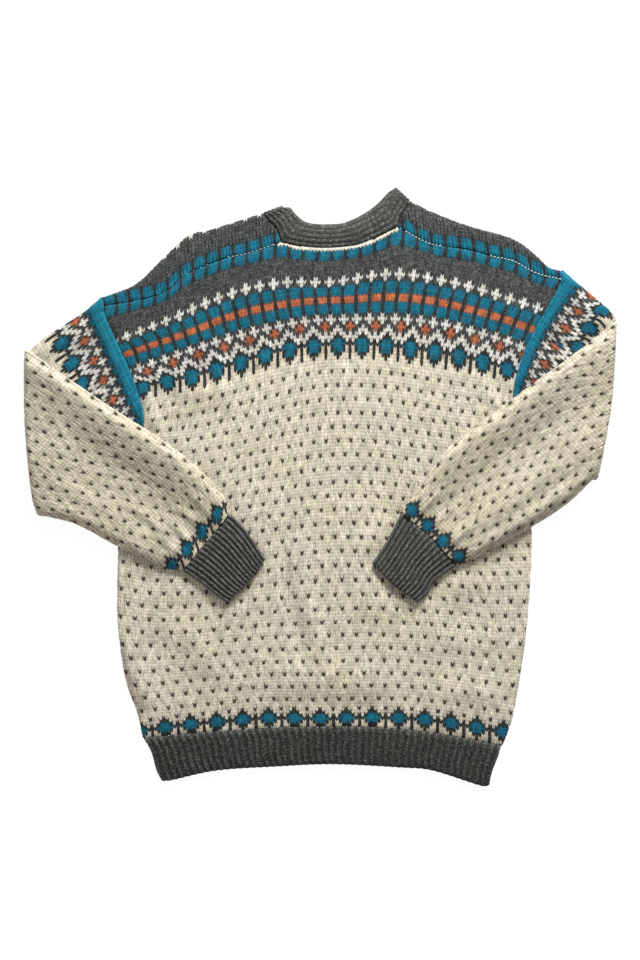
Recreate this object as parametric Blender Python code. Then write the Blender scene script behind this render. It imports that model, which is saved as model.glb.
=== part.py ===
"""A Nordic yoke sweater, laid flat with its back up and both sleeves folded over onto the back.

+Y runs from the hem to the neck, +Z is up and z = 0 is the surface that the sweater lies on. Left and
right are the wearer's, so the left sleeve lies on the -X side. Every piece is one wall of knitted
fabric: the panels lie on each other, and the ribs, sleeves and cuffs are flat tubes.
"""

import math

import bmesh
import bpy
import numpy as np

SWEATER = "nordic_yoke_sweater"
MM = 0.001
QUARTER = math.pi / 2
SHARP = math.radians(50)  # an edge this sharp is shaded as one

# Driving sizes, in metres.
WALL = 3.0 * MM  # thickness of the knitted fabric
AIR = 1.0 * MM  # left between two layers that lie on each other
HALF = WALL + AIR / 2  # half the thickness of a flat tube
SEAM = 0.3 * MM  # between two pieces that are sewn or knitted together
REST = 0.3 * MM  # between a folded sleeve and what it lies on
BEND = HALF + REST / 2  # radius of a sleeve's middle layer round its fold
SHOULDER_SEAM_DROP = 12 * MM  # of the shoulder seam below the shoulder fold, at the armhole
RIB_RISE = 1.3 * MM  # of a rib's crest over its valleys
RIB_VALLEY = -0.5 * MM  # of a rib's valleys from the plain wall
RIDGE_RISE = 0.9 * MM
RIDGE_VALLEY = -0.4 * MM
HEM_RIBS, CUFF_RIBS, BAND_RIDGES = 72, 17, 5  # that show on one side
CENTRE = (0.2, 374.2)  # of the whole sweater, in the millimetres of the tables below

# How finely the panels, tubes and bands are divided.
SIDE_ROWS, ARMHOLE_ROWS = 8, 8
SHOULDER_COLUMNS, NECK_COLUMNS, WRAP_ROWS = 7, 10, 3
UPPER_ARM_RINGS, FOREARM_RINGS, RIB_RINGS = 4, 8, 3
PLAIN_COLUMNS = 12  # on the plain underside of a ribbed tube, for each tube's width
FOLD_TURNS = tuple(math.radians(turn) for turn in (-45, 0, 45))

# Lines of the flat garment, each a row of (across, up) in millimetres: across from the middle, and up from
# the lowest corner of the hem. A line runs upwards, from the neck outwards or from left to right.
HEM_LOWER = ((-199, 7), (-186, 7), (-130, 19), (-57, 24), (16, 27), (99, 23), (141, 19), (202, 0), (211, 4))
HEM_UPPER = ((-222, 60), (-130, 68), (-47, 73), (49, 74), (120, 69), (180, 60), (228, 50))
BACK_NECK = ((-49, 680), (-32, 676), (-15, 673), (9, 672), (36, 674), (51, 677), (74, 687), (97, 699))
BACK_RIM = ((-45, 726), (-35, 719), (-20, 709), (-6, 703), (16, 702), (54, 714), (82, 737), (94, 749))
FRONT_NECK = ((-72, 718), (-58, 678), (-30, 640), (20, 624), (70, 648), (98, 690), (114, 733))
FRONT_RIM = ((-45, 726), (-35, 696), (-16, 667), (18, 655), (54, 672), (76, 702), (94, 749))
HEM_SIDE = {
    "left": ((-199, 7), (-206, 21), (-212, 42), (-222, 60)),
    "right": ((211, 4), (215, 19), (224, 38), (228, 50)),
}
SIDE = {
    "left": ((-222, 60), (-229, 92), (-240, 121), (-248, 158), (-254, 215), (-253, 299), (-254, 374)),
    "right": ((228, 50), (236, 69), (244, 100), (257, 182), (264, 270), (265, 325), (265, 405)),
}
ARMHOLE = {
    "left": ((-254, 374), (-233, 405), (-222, 450), (-227, 485), (-245, 532), (-269, 585), (-274, 612)),
    "right": ((265, 405), (247, 434), (244, 490), (249, 519), (264, 559), (287, 600), (302, 628), (304, 645)),
}
SHOULDER_FOLD = {
    "left": ((-72, 718), (-110, 706), (-142, 696), (-164, 691), (-195, 663), (-231, 629), (-274, 612)),
    "right": ((114, 733), (135, 722), (182, 703), (240, 686), (269, 666), (285, 651), (304, 645)),
}
SHOULDER_SEAM = {
    "left": ((-49, 680), (-90, 666), (-121, 659), (-166, 640), (-190, 620), (-216, 610), (-272, 600)),
    "right": ((97, 699), (124, 684), (145, 676), (182, 671), (216, 662), (242, 656), (271, 641), (303, 633)),
}
NECK_WRAP = {
    "left": ((-72, 718), (-64, 707), (-54, 696), (-49, 680)),
    "right": ((114, 733), (101, 712), (97, 699)),
}
UPPER_ARM_TOP = {
    "left": ((-274, 612), (-297, 592), (-337, 566), (-371, 544)),
    "right": ((304, 645), (319, 632), (356, 601), (372, 577)),
}
UPPER_ARM_UNDER = {
    "left": ((-254, 374), (-304, 356), (-354, 337)),
    "right": ((265, 405), (306, 393), (348, 382)),
}
SLEEVE_FOLD = {
    "left": ((-354, 337), (-361, 360), (-367, 410), (-371, 466), (-371, 544)),
    "right": ((348, 382), (357, 425), (366, 479), (370, 532), (372, 577)),
}
FOREARM_TOP = {
    "left": ((-371, 544), (-313, 510), (-252, 468), (-190, 429), (-147, 394), (-121, 364), (-112, 341)),
    "right": ((372, 577), (321, 545), (264, 502), (224, 472), (159, 423), (119, 369), (100, 342)),
}
FOREARM_UNDER = {
    "left": ((-354, 337), (-329, 334), (-300, 325), (-252, 299), (-200, 275), (-172, 268)),
    "right": ((348, 382), (304, 349), (245, 312), (187, 281), (171, 275)),
}
CUFF_START = {
    "left": ((-172, 268), (-140, 307), (-112, 341)),
    "right": ((171, 275), (137, 311), (100, 342)),
}
CUFF_END = {
    "left": ((-116, 229), (-91, 254), (-67, 285)),
    "right": ((123, 229), (92, 251), (64, 280)),
}
CUFF_TOP = {
    "left": ((-112, 341), (-105, 336), (-89, 318), (-67, 285)),
    "right": ((100, 342), (95, 332), (80, 304), (64, 280)),
}
CUFF_UNDER = {
    "left": ((-172, 268), (-151, 254), (-126, 234), (-116, 229)),
    "right": ((171, 275), (145, 256), (135, 240), (123, 229)),
}

# Colour, roughness of each yarn.
YARNS = {
    "cream_wool": ((0.62, 0.56, 0.45, 1), 0.95),
    "charcoal_wool": ((0.075, 0.072, 0.068, 1), 0.95),
}


class Line:
    """A smooth line through a row of (across, up) points, read by its share of the length."""

    STEPS = 16

    def __init__(self, rows, first=None, last=None):
        knots = (np.array(rows, float) - CENTRE) * MM
        if first is not None:
            knots[0] = first
        if last is not None:
            knots[-1] = last
        before = np.vstack([2 * knots[0] - knots[1], knots[:-1]])
        after = np.vstack([knots[1:], 2 * knots[-1] - knots[-2]])
        slopes = (after - before) / 2
        along = np.linspace(0, 1, self.STEPS, endpoint=False)[:, None]
        spans = [
            (1 + 2 * along) * (1 - along) ** 2 * knots[i]
            + along * (1 - along) ** 2 * slopes[i]
            + along**2 * (3 - 2 * along) * knots[i + 1]
            + along**2 * (along - 1) * slopes[i + 1]
            for i in range(len(knots) - 1)
        ]
        self.points = np.vstack(spans + [knots[-1:]])
        steps = np.linalg.norm(np.diff(self.points, axis=0), axis=1)
        self.length = steps.sum()
        self.shares = np.concatenate([[0], np.cumsum(steps)]) / self.length

    def at(self, shares):
        return np.stack([np.interp(shares, self.shares, self.points[:, i]) for i in (0, 1)], axis=-1)

    def direction(self, share):
        ahead, behind = self.at(min(share + 0.01, 1)), self.at(max(share - 0.01, 0))
        return unit(ahead - behind)


def unit(vector):
    return vector / np.linalg.norm(vector)


def cross(a, b):
    return a[0] * b[1] - a[1] * b[0]


def normals(points):
    """The unit normal on the right-hand side of a row of points, at each of them."""
    along = np.gradient(points, axis=0)
    along /= np.linalg.norm(along, axis=1, keepdims=True)
    return np.stack([along[:, 1], -along[:, 0]], axis=1)


def beside(points, distance):
    """The row of points moved to its right-hand side."""
    return points + distance * normals(points)


def mitre(line_direction, edge_direction):
    """How far a line runs through the rounded edge that it meets."""
    return HALF / abs(cross(line_direction, edge_direction))


def coons(bottom, top, left, right, across, up):
    """The points between four rows of points, row by row from the bottom; across and up are their shares."""
    u, v = across[None, :, None], up[:, None, None]
    corners = (
        (1 - v) * ((1 - u) * bottom[0] + u * bottom[-1]) + v * ((1 - u) * top[0] + u * top[-1])
    )
    ruled_up = (1 - v) * bottom[None] + v * top[None]
    ruled_across = (1 - u) * left[:, None] + u * right[:, None]
    return ruled_up + ruled_across - corners


def wool(yarn):
    material = bpy.data.materials.get(yarn)
    if material is None:
        colour, roughness = YARNS[yarn]
        material = bpy.data.materials.new(yarn)
        material.diffuse_color = colour
        material.use_nodes = True
        shader = material.node_tree.nodes["Principled BSDF"]
        shader.inputs["Base Color"].default_value = colour
        shader.inputs["Roughness"].default_value = roughness
        shader.inputs["Metallic"].default_value = 0
    return material


def add_piece(name, bm, yarn):
    """A piece of the sweater, from its finished faces."""
    bmesh.ops.recalc_face_normals(bm, faces=bm.faces)
    mesh = bpy.data.meshes.new(name)
    bm.to_mesh(mesh)
    bm.free()
    mesh.shade_smooth()
    mesh.set_sharp_from_angle(angle=SHARP)
    mesh.materials.append(wool(yarn))
    piece = bpy.data.objects.new(name, mesh)
    bpy.data.collections[SWEATER].objects.link(piece)


def add_wall(name, outer, inner, quads, yarn):
    """One closed wall between two matching sets of points, with its open edges joined."""
    bm = bmesh.new()
    skins = [[bm.verts.new(place) for place in skin] for skin in (outer, inner)]
    open_edges = set()
    for quad in quads:
        bm.faces.new([skins[0][i] for i in quad])
        bm.faces.new([skins[1][i] for i in reversed(quad)])
        for edge in zip(quad, quad[1:] + quad[:1]):
            if edge[::-1] in open_edges:
                open_edges.remove(edge[::-1])
            else:
                open_edges.add(edge)
    for a, b in sorted(open_edges):
        bm.faces.new([skins[0][b], skins[0][a], skins[1][a], skins[1][b]])
    add_piece(name, bm, yarn)


def add_tube(name, rings, yarn):
    """A wall through rings, each a pair of outer and inner points, open at both ends."""
    count = len(rings[0][0])
    outer, inner = (np.vstack([pair[i] for pair in rings]) for i in (0, 1))
    quads = []
    for j in range(len(rings) - 1):
        for i in range(count):
            onwards = (i + 1) % count
            quads.append((j * count + i, j * count + onwards, (j + 1) * count + onwards, (j + 1) * count + i))
    add_wall(name, outer, inner, quads, yarn)


class Panel:
    """A panel of the body: points with an outer and an inner place, and the quads between them."""

    def __init__(self):
        self.outer, self.inner, self.quads = [], [], []

    def add(self, base, reach=(0, 0), turn=QUARTER):
        """A point of the wall round a flat edge that starts at base: turn is -90 degrees on the underside."""
        for places, radius in ((self.outer, HALF), (self.inner, HALF - WALL)):
            flat = base + np.array(reach) * math.cos(turn) * radius / HALF
            places.append((*flat, HALF + radius * math.sin(turn)))
        return len(self.outer) - 1

    def add_seam(self, base, reach, side):
        """A point halfway up a rounded edge, where the front's wall (-1) meets the back's (+1)."""
        for places, radius in ((self.outer, HALF), (self.inner, HALF - WALL)):
            flat = base + np.array(reach) * radius / HALF
            places.append((*flat, HALF + side * SEAM / 2))
        return len(self.outer) - 1

    def fill(self, rows):
        for lower, upper in zip(rows, rows[1:]):
            for i in range(len(lower) - 1):
                self.quads.append((lower[i], lower[i + 1], upper[i + 1], upper[i]))

    def finish(self, name, yarn):
        add_wall(name, self.outer, self.inner, self.quads, yarn)


def armhole_shares(side):
    """Where the flat part of an armhole has its points, from the underarm to the shoulder."""
    line = Line(ARMHOLE[side])
    under = mitre(line.direction(0), Line(SIDE[side]).direction(1)) / line.length
    shoulder = 1 - mitre(line.direction(1), Line(SHOULDER_FOLD[side]).direction(1)) / line.length
    seam = 1 - SHOULDER_SEAM_DROP / line.length
    return np.append(np.linspace(under, seam, ARMHOLE_ROWS + 1), shoulder)


def armhole_points(side, outwards):
    """The underarm corner, the armhole's flat points and the shoulder corner, moved towards the sleeve."""
    line = Line(ARMHOLE[side])
    points = line.at(np.concatenate([[0], armhole_shares(side), [1]]))
    return beside(points, -outwards if side == "left" else outwards)


def band_fold(side):
    """The two ends of the neckband's fold at a shoulder, at its seam and its rim, and the way out over it."""
    index = 0 if side == "left" else -1
    seam, rim = Line(FRONT_NECK).points[index], Line(FRONT_RIM).points[index]
    along = unit(rim - seam)
    out = np.array([-along[1], along[0]]) * (1 if side == "left" else -1)
    return seam, rim, out


def shoulder_fold(side):
    """The base of the rounded shoulder fold and its reach, from the neck to the armhole."""
    line = Line(SHOULDER_FOLD[side])
    edge = line.at(np.linspace(0, 1, SHOULDER_COLUMNS + 1))
    inwards = beside(edge, HALF if side == "right" else -HALF)
    _, _, out = band_fold(side)
    edge[0] = band_fold(side)[0]
    inwards[0] = edge[0] - HALF * out
    armhole = armhole_points(side, -SEAM / 2)
    inwards[-1], edge[-1] = armhole[-2], armhole[-1]
    return inwards, edge - inwards


def neck_wrap(side):
    """The neck edge on the upper side, from the base of the shoulder fold to the shoulder seam."""
    points = Line(NECK_WRAP[side]).at(np.linspace(0, 1, WRAP_ROWS + 1))
    points[0] = shoulder_fold(side)[0][0]
    return points


def neck_edge(rows):
    """A neck line from the left fold to the right one, with its ends on the folds' bases."""
    points = Line(rows).at(np.linspace(0, 1, NECK_COLUMNS + 1))
    points[0], points[-1] = (shoulder_fold(side)[0][0] for side in ("left", "right"))
    return points


def shoulder_seam(side):
    """From the neck to the armhole."""
    points = Line(SHOULDER_SEAM[side]).at(np.linspace(0, 1, SHOULDER_COLUMNS + 1))
    points[-1] = armhole_points(side, -SEAM / 2)[-3]
    return points


def side_edges(side):
    """The base of the body's rounded side edge and its reach, from the hem rib to the underarm."""
    edge = Line(SIDE[side]).at(np.linspace(0, 1, SIDE_ROWS + 1))
    inwards = edge + [HALF if side == "left" else -HALF, 0]
    rib = Line(HEM_UPPER)
    inset = mitre(rib.direction(0), [0, 1]) / rib.length
    inwards[0] = rib.at(inset if side == "left" else 1 - inset)
    edge[0, 1] += SEAM
    inwards[0, 1] += SEAM
    armhole = armhole_points(side, -SEAM / 2)
    inwards[-1], edge[-1] = armhole[1], armhole[0]
    return inwards, edge - inwards


def panel_grid(top, armhole_rows):
    """The flat points of a body panel, row by row from the hem rib to its top line."""
    sides = [
        np.vstack([side_edges(side)[0], armhole_points(side, -SEAM / 2)[2 : 2 + armhole_rows]])
        for side in ("left", "right")
    ]
    across = (top[:, 0] - top[0, 0]) / (top[-1, 0] - top[0, 0])
    steps = [np.linalg.norm(np.diff(edge, axis=0), axis=1) for edge in sides]
    up = np.mean([np.concatenate([[0], np.cumsum(step)]) / step.sum() for step in steps], axis=0)
    bottom = Line(HEM_UPPER).at(across) + [0, SEAM]
    bottom[0], bottom[-1] = sides[0][0], sides[1][0]
    return coons(bottom, top, *sides, across, up)


def make_back():
    """From the hem rib to the shoulder seams and the back neckline, on the upper side."""
    panel = Panel()
    seams = {side: shoulder_seam(side) for side in ("left", "right")}
    neck = Line(BACK_NECK).at(np.linspace(0, 1, NECK_COLUMNS + 1))
    top = np.vstack([seams["left"][:0:-1], neck, seams["right"][1:]])
    top[1:-1, 1] -= SEAM / 2
    grid = panel_grid(top, ARMHOLE_ROWS)
    rows = [[panel.add(point) for point in row] for row in grid]
    panel.fill(rows)
    add_side_edges(panel, rows, 1)
    panel.finish("back", "cream_wool")


def make_front():
    """On the underside, up to the front neckline, and over both shoulders to the shoulder seams."""
    panel = Panel()
    folds = {side: shoulder_fold(side) for side in ("left", "right")}
    neck = neck_edge(FRONT_NECK)
    neck[1:-1] = beside(neck, SEAM / 2)[1:-1]
    top = np.vstack([folds["left"][0][:0:-1], neck, folds["right"][0][1:]])
    grid = panel_grid(top, ARMHOLE_ROWS + 1)
    rows = [[panel.add(point, turn=-QUARTER) for point in row] for row in grid]
    panel.fill(rows)
    add_side_edges(panel, rows, -1)
    columns = SHOULDER_COLUMNS + 1
    add_shoulder(panel, "left", rows[-1][:columns][::-1])
    add_shoulder(panel, "right", rows[-1][-columns:])
    panel.finish("front", "cream_wool")


def add_side_edges(panel, rows, layer):
    """The rounded side edges, from a panel's flat part to the side seam; layer is -1 for the front."""
    for side, column in (("left", 0), ("right", -1)):
        bases, reaches = side_edges(side)
        strip = [[rows[j][column] for j in range(SIDE_ROWS + 1)]]
        turn = layer * QUARTER / 2
        strip.append([panel.add(base, reach, turn) for base, reach in zip(bases, reaches)])
        strip.append([panel.add_seam(base, reach, layer) for base, reach in zip(bases, reaches)])
        panel.fill(strip if side == "left" else strip[::-1])


def add_shoulder(panel, side, base_row):
    """From the front's flat part, over the shoulder fold, to the shoulder seam on the upper side."""
    bases, reaches = shoulder_fold(side)
    strip = [base_row]
    for turn in (*FOLD_TURNS, QUARTER):
        strip.append([panel.add(base, reach, turn) for base, reach in zip(bases, reaches)])
    seam, wrap, shares = shoulder_seam(side), neck_wrap(side), np.linspace(0, 1, WRAP_ROWS + 1)
    seam[:, 1] += SEAM / 2
    seam[-1] = armhole_points(side, -SEAM / 2)[-3] + [0, SEAM]
    outwards = SEAM / 2 if side == "right" else -SEAM / 2
    for k in range(1, WRAP_ROWS + 1):
        row = (1 - shares[k]) * bases + shares[k] * seam
        row[0] = wrap[k] + [outwards, SEAM / 2 if k == WRAP_ROWS else 0]
        strip.append([panel.add(point) for point in row])
    panel.fill(strip if side == "right" else strip[::-1])


def tube_ring(lower_row, upper_row, rises):
    """A cross-section of a flat tube, as its outer and inner points (across, up, height from the middle).

    A row holds the tube's flat points between the tips of its two rounded edges, and rises says how far
    each flat point of the upper layer stands out from the plain wall.
    """
    inner_radius = HALF - WALL
    level = np.zeros(len(lower_row) - 2)
    outer, inner = [], []
    for layer, row, offsets in ((-1, lower_row, level), (1, upper_row[::-1], rises[::-1])):
        flat = row[1:-1]
        outer += [(*point, layer * (HALF + offset)) for point, offset in zip(flat, offsets)]
        inner += [(*point, layer * inner_radius) for point in flat]
        tip, base = (lower_row[-1], lower_row[-2]) if layer < 0 else (lower_row[0], lower_row[1])
        for turn in FOLD_TURNS:
            for places, radius in ((outer, HALF), (inner, inner_radius)):
                spot = base + (tip - base) * math.cos(turn) * radius / HALF
                places.append((*spot, -layer * radius * math.sin(turn)))
    return np.array(outer), np.array(inner)


def plain_ring(row):
    return tube_ring(row, row, np.zeros(len(row) - 2))


def place(ring, turn=0.0, out=(0, 0)):
    """A ring in space: turn runs from 0, flat on the floor, to 180 degrees, folded over."""
    placed = []
    for points in ring:
        height = points[:, 2:]
        flat = points[:, :2] + (BEND - height) * math.sin(turn) * np.array(out)
        up = HALF + BEND * (1 - math.cos(turn)) + height * math.cos(turn)
        placed.append(np.hstack([flat, up]))
    return placed


def tube_rows(start, end, under, top, shares, spread):
    """Rows of a flat tube's points between two lines across it, each with the tips of its rounded edges.

    start, end, under and top are Lines, and spread is the share of each point between the rounded edges.
    """
    rows = []
    for share in shares:
        tips = under.at(share), top.at(share)
        width = np.linalg.norm(tips[1] - tips[0])
        insets = [mitre(unit(tips[1] - tips[0]), edge.direction(share)) / width for edge in (under, top)]
        across = np.concatenate([[0], insets[0] + (1 - sum(insets)) * spread, [1]])
        edges = np.array([tips[0]]), np.array([tips[1]])
        rows.append(coons(start.at(across), end.at(across), *edges, across, np.array([share]))[0])
    return rows


def make_sleeve(side):
    """From the armhole along the floor to the fold, over it, and back over the body to the cuff."""
    shares = armhole_shares(side)
    spread = (shares - shares[0]) / (shares[-1] - shares[0])
    fold = Line(SLEEVE_FOLD[side])
    out = unit(fold.points[-1] - fold.points[0])
    out = np.array([-out[1], out[0]]) * (1 if side == "left" else -1)
    fold.points = fold.points - (BEND + HALF) * out
    under_fold, top_fold = fold.points[0], fold.points[-1]
    upper_arm = tube_rows(
        Line(ARMHOLE[side]),
        fold,
        Line(UPPER_ARM_UNDER[side], last=under_fold),
        Line(UPPER_ARM_TOP[side], last=top_fold),
        np.linspace(0, 1, UPPER_ARM_RINGS + 1),
        spread,
    )
    upper_arm[0] = armhole_points(side, SEAM / 2)
    fold_row = upper_arm[-1]
    forearm = tube_rows(
        fold,
        Line(CUFF_START[side]),
        Line(FOREARM_UNDER[side], first=under_fold),
        Line(FOREARM_TOP[side], first=top_fold),
        np.linspace(0, 1, FOREARM_RINGS + 1),
        spread,
    )
    rings = [place(plain_ring(row)) for row in upper_arm]
    rings += [place(plain_ring(fold_row), QUARTER + turn, out) for turn in FOLD_TURNS]
    rings += [place(plain_ring(row), 2 * QUARTER) for row in [fold_row, *forearm[1:]]]
    add_tube(f"sleeve_{side}", rings, "cream_wool")


def wavy(count, valley, rise):
    """Heights across a number of ridges, with a crest on each and a valley on each side of it."""
    heights = np.full(2 * count + 1, valley)
    heights[1::2] += rise
    return heights


def ribbed_rings(start, end, under, top, ribs):
    """Rings of a ribbed tube, plain inside and on its lower layer."""
    shares = np.linspace(0, 1, RIB_RINGS + 1)
    plain_rows = tube_rows(start, end, under, top, shares, np.linspace(0, 1, PLAIN_COLUMNS + 1))
    ribbed_rows = tube_rows(start, end, under, top, shares, np.linspace(0, 1, 2 * ribs + 1))
    rises = wavy(ribs, RIB_VALLEY, RIB_RISE)
    return [tube_ring(plain, ribbed, rises) for plain, ribbed in zip(plain_rows, ribbed_rows)]


def make_cuff(side):
    """A ribbed tube on the folded forearm, with its ribs on the upper side."""
    start, end = Line(CUFF_START[side]), Line(CUFF_END[side])
    rings = ribbed_rings(start, end, Line(CUFF_UNDER[side]), Line(CUFF_TOP[side]), CUFF_RIBS)
    onwards = unit(end.at(0.5) - start.at(0.5))
    for points in rings[0]:
        points[:, :2] += SEAM * onwards
    for outer, inner in rings:
        outer[:, 2] *= -1
        inner[:, 2] *= -1
    add_tube(f"cuff_{side}", [place(ring, 2 * QUARTER) for ring in rings], "charcoal_wool")


def make_hem_rib():
    """A ribbed tube under both panels."""
    sides = Line(HEM_SIDE["left"]), Line(HEM_SIDE["right"])
    rings = ribbed_rings(Line(HEM_LOWER), Line(HEM_UPPER), *sides, HEM_RIBS)
    add_tube("hem_rib", [place(ring) for ring in rings], "charcoal_wool")


def band_stations():
    """(seam point, rim point, turn, way out) round the neck, from the left fold over the back."""
    seam = np.vstack(
        [
            neck_wrap("left")[:-1],
            Line(BACK_NECK).at(np.linspace(0, 1, NECK_COLUMNS + 1)),
            neck_wrap("right")[-2::-1],
        ]
    )
    steps = np.linalg.norm(np.diff(seam, axis=0), axis=1)
    shares = np.concatenate([[0], np.cumsum(steps)]) / steps.sum()
    back = [seam, Line(BACK_RIM).at(shares)]
    front = [neck_edge(FRONT_NECK), Line(FRONT_RIM).at(np.linspace(0, 1, NECK_COLUMNS + 1))]
    outs = {}
    for side, index in (("left", 0), ("right", -1)):
        _, rim, outs[side] = band_fold(side)
        back[1][index] = front[1][index] = rim - HALF * outs[side]
    nowhere = np.zeros(2)
    stations = [(a, b, QUARTER, nowhere) for a, b in zip(*back)]
    stations += [(back[0][-1], back[1][-1], turn, outs["right"]) for turn in FOLD_TURNS[::-1]]
    stations += [(a, b, -QUARTER, nowhere) for a, b in zip(front[0][::-1], front[1][::-1])]
    stations += [(back[0][0], back[1][0], turn, outs["left"]) for turn in FOLD_TURNS]
    return stations


def make_neckband():
    """A band with ridges along it on the upper side, plain where its front part lies on the floor."""
    shares = np.linspace(0, 1, 2 * BAND_RIDGES + 1)
    rises = wavy(BAND_RIDGES, RIDGE_VALLEY, RIDGE_RISE)
    bm = bmesh.new()
    rows = []
    for seam, rim, turn, out in band_stations():
        start = seam + SEAM / 2 * unit(rim - seam)
        radii = HALF + rises * max(math.sin(turn), 0)
        section = [(start + share * (rim - start), radius) for share, radius in zip(shares, radii)]
        section += [(rim, HALF - WALL), (start, HALF - WALL)]
        row = []
        for spot, radius in section:
            flat = spot + out * radius * math.cos(turn)
            row.append(bm.verts.new((*flat, HALF + radius * math.sin(turn))))
        rows.append(row)
    for row, ahead in zip(rows, rows[1:] + rows[:1]):
        for i in range(len(row)):
            j = (i + 1) % len(row)
            bm.faces.new((row[i], row[j], ahead[j], ahead[i]))
    add_piece("neckband", bm, "charcoal_wool")


def main():
    for obj in list(bpy.data.objects):
        bpy.data.objects.remove(obj, do_unlink=True)
    collection = bpy.data.collections.new(SWEATER)
    bpy.context.scene.collection.children.link(collection)
    make_front()
    make_back()
    make_hem_rib()
    make_neckband()
    for side in ("left", "right"):
        make_sleeve(side)
        make_cuff(side)


main()
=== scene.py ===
"""A hand-knitted Nordic yoke sweater, laid flat with its back up and both sleeves folded onto the back.

The panels and the sleeves are knitted from lattices: wales are a lattice's columns, courses its rows, and
each stitch is a V of two raised legs in its own yarn. A piece is cut from its lattice along the garment's
outline, laid or folded into place, and closed by a plain inner face. The hem, the cuffs and the neckband
are flat tubes with ribs or ridges. Left and right are the wearer's.
"""

import math

import bmesh
import bpy
import numpy as np
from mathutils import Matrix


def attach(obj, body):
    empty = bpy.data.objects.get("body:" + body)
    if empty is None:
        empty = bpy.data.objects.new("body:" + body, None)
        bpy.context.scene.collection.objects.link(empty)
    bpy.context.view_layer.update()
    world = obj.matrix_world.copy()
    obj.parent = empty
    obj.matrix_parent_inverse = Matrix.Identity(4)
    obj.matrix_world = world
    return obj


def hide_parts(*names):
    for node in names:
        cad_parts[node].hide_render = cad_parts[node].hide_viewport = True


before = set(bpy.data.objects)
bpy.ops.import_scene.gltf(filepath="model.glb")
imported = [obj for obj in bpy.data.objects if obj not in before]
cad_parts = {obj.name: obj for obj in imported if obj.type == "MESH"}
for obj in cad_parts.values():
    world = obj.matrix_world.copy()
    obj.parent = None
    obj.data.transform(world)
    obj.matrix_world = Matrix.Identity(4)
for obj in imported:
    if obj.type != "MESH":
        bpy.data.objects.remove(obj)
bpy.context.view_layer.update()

MM = 0.001
SIDES = ("left", "right")
CENTRE = (0.2, 374.2)  # of the whole sweater, in the millimetres of the tables below

# The fabric, in metres.
WALL = 3.0 * MM
AIR = 1.0 * MM  # between two layers that lie on each other
HALF = WALL + AIR / 2  # half the thickness of a flat tube
INNER = AIR / 2  # from a flat tube's middle to its inner faces
SEAM = 0.3 * MM  # between two pieces
REST = 0.3 * MM  # between a folded sleeve and what it lies on
BEND = HALF + REST / 2  # from the middle of a flat sleeve to the axis that it folds round
STITCH_RISE = 0.85 * MM  # of a stitch's legs over the grooves between them
ZIGZAG = 0.66  # how far a V's tip is below its arms, in courses
UNEVEN = 0.20 * MM  # how far stitches stray from their lattice
CREST_UNEVEN = 0.22  # how far their pits and grooves stray in depth, against a leg's rise
SHADE_UNEVEN = (0.045, 0.24)  # how far their shades stray: at least, and more the more mixed a yarn is
LEAST_LEVEL = 0.05 * MM  # of an outer face from the middle of its flat tube
EDGE_INSET = 2.6 * MM  # of the inner face from a rounded edge
# The crest depths below set both how high the fabric lies and how dark it is drawn: painted shade in the low
# places.
WALE_DEPTHS = (-0.8, -0.3)  # of the pits inside the Vs and of the grooves between wales, against a leg's rise
# How far the crest drops where two yarns meet: a shallow dip in the fabric, and a painted dark line of shade
# along the change.
COLOUR_CHANGE_DEPTH = 0.42
SEAM_DIP = 1.1 * MM
SEAM_REACH = 3.0 * MM
TUCK, TUCK_REACH = 0.6 * MM, (1 * MM, 5 * MM)  # how deep and how far out the back dips along the armholes

# Yarns: linear colour, and how strongly light and dark fibres are mixed in. "e" and "b" are no yarns of their
# own:
# the cream with painted shade and the teal with painted light.
YARNS = {
    "c": ((0.94, 0.85, 0.67), 0.10),  # cream
    # The cream, darkened: painted shade on the folded forearms.
    "e": ((0.83, 0.74, 0.565), 0.10),  # darker cream of the forearms
    "w": ((1.0, 0.97, 0.88), 0.05),  # white
    "g": ((0.041, 0.046, 0.047), 1.00),  # charcoal heather
    "d": ((0.022, 0.026, 0.024), 0.45),  # darker charcoal of outlines and stems
    "t": ((0.000, 0.180, 0.285), 0.08),  # teal
    # The teal, brightened: painted light on the raised bands that roll over the armhole seams.
    "b": ((0.000, 0.225, 0.345), 0.10),  # brighter teal of the bands along the armholes
    "o": ((0.67, 0.180, 0.070), 0.20),  # orange
    "l": ((0.095, 0.080, 0.055), 0.35),  # lice
    "k": ((0.052, 0.053, 0.046), 0.85),  # charcoal of the cuffs and the neckband
    "h": ((0.015, 0.019, 0.014), 0.80),  # darker charcoal of the hem
}
YARN_ORDER = "cewgdtbolkh"

# Stitch charts: an eight-stitch repeat for each course, from the shoulder downwards.
BLOCKS, BARS, PLAIN_GREY = "ttdtttdt", "oodooodo", "gggggggg"
STAR_TIP, STAR_BAR = "ggwgggwg", "gwwwgwww"
DIAMONDS = (STAR_TIP, STAR_BAR, "ogwgggwg", "ooggwggo", "oggwwwgg", "wgwwdwwg")
DISC = ("dwdtttdw", "ddtttttd", "dcdtttdc", "dcdtttdc", "dccdddcc", "dcccdccc")
WHITE_TREES = ("wwwdddww",) + DISC
TREES = ("ccccdccc", "cccdddcc", "dcdtttdc") + DISC[1:3] + DISC[4:]
HEM_TREES = ("dcccdccc", "cccdddcc", "dcdtttdc", "ddtttttd", "dcdtttdc", "dccdddcc", "dcccdccc")
YOKE = 3 * (BLOCKS,) + 5 * (PLAIN_GREY,) + (STAR_TIP, STAR_BAR, STAR_TIP)
YOKE += 3 * (BLOCKS,) + 2 * (BARS,) + 3 * (BLOCKS,) + DIAMONDS + WHITE_TREES
YOKE_START = -9
FIRST_LICE, LAST_LICE, LICE_STEP = 26, 122, 4
HEM_TREES_START = 125
# Its first four courses are in the brightened teal: painted light on the band's roll.
SLEEVE_HEAD = 4 * ("bbbbbbbb",) + (BLOCKS,) + DIAMONDS + WHITE_TREES
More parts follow.
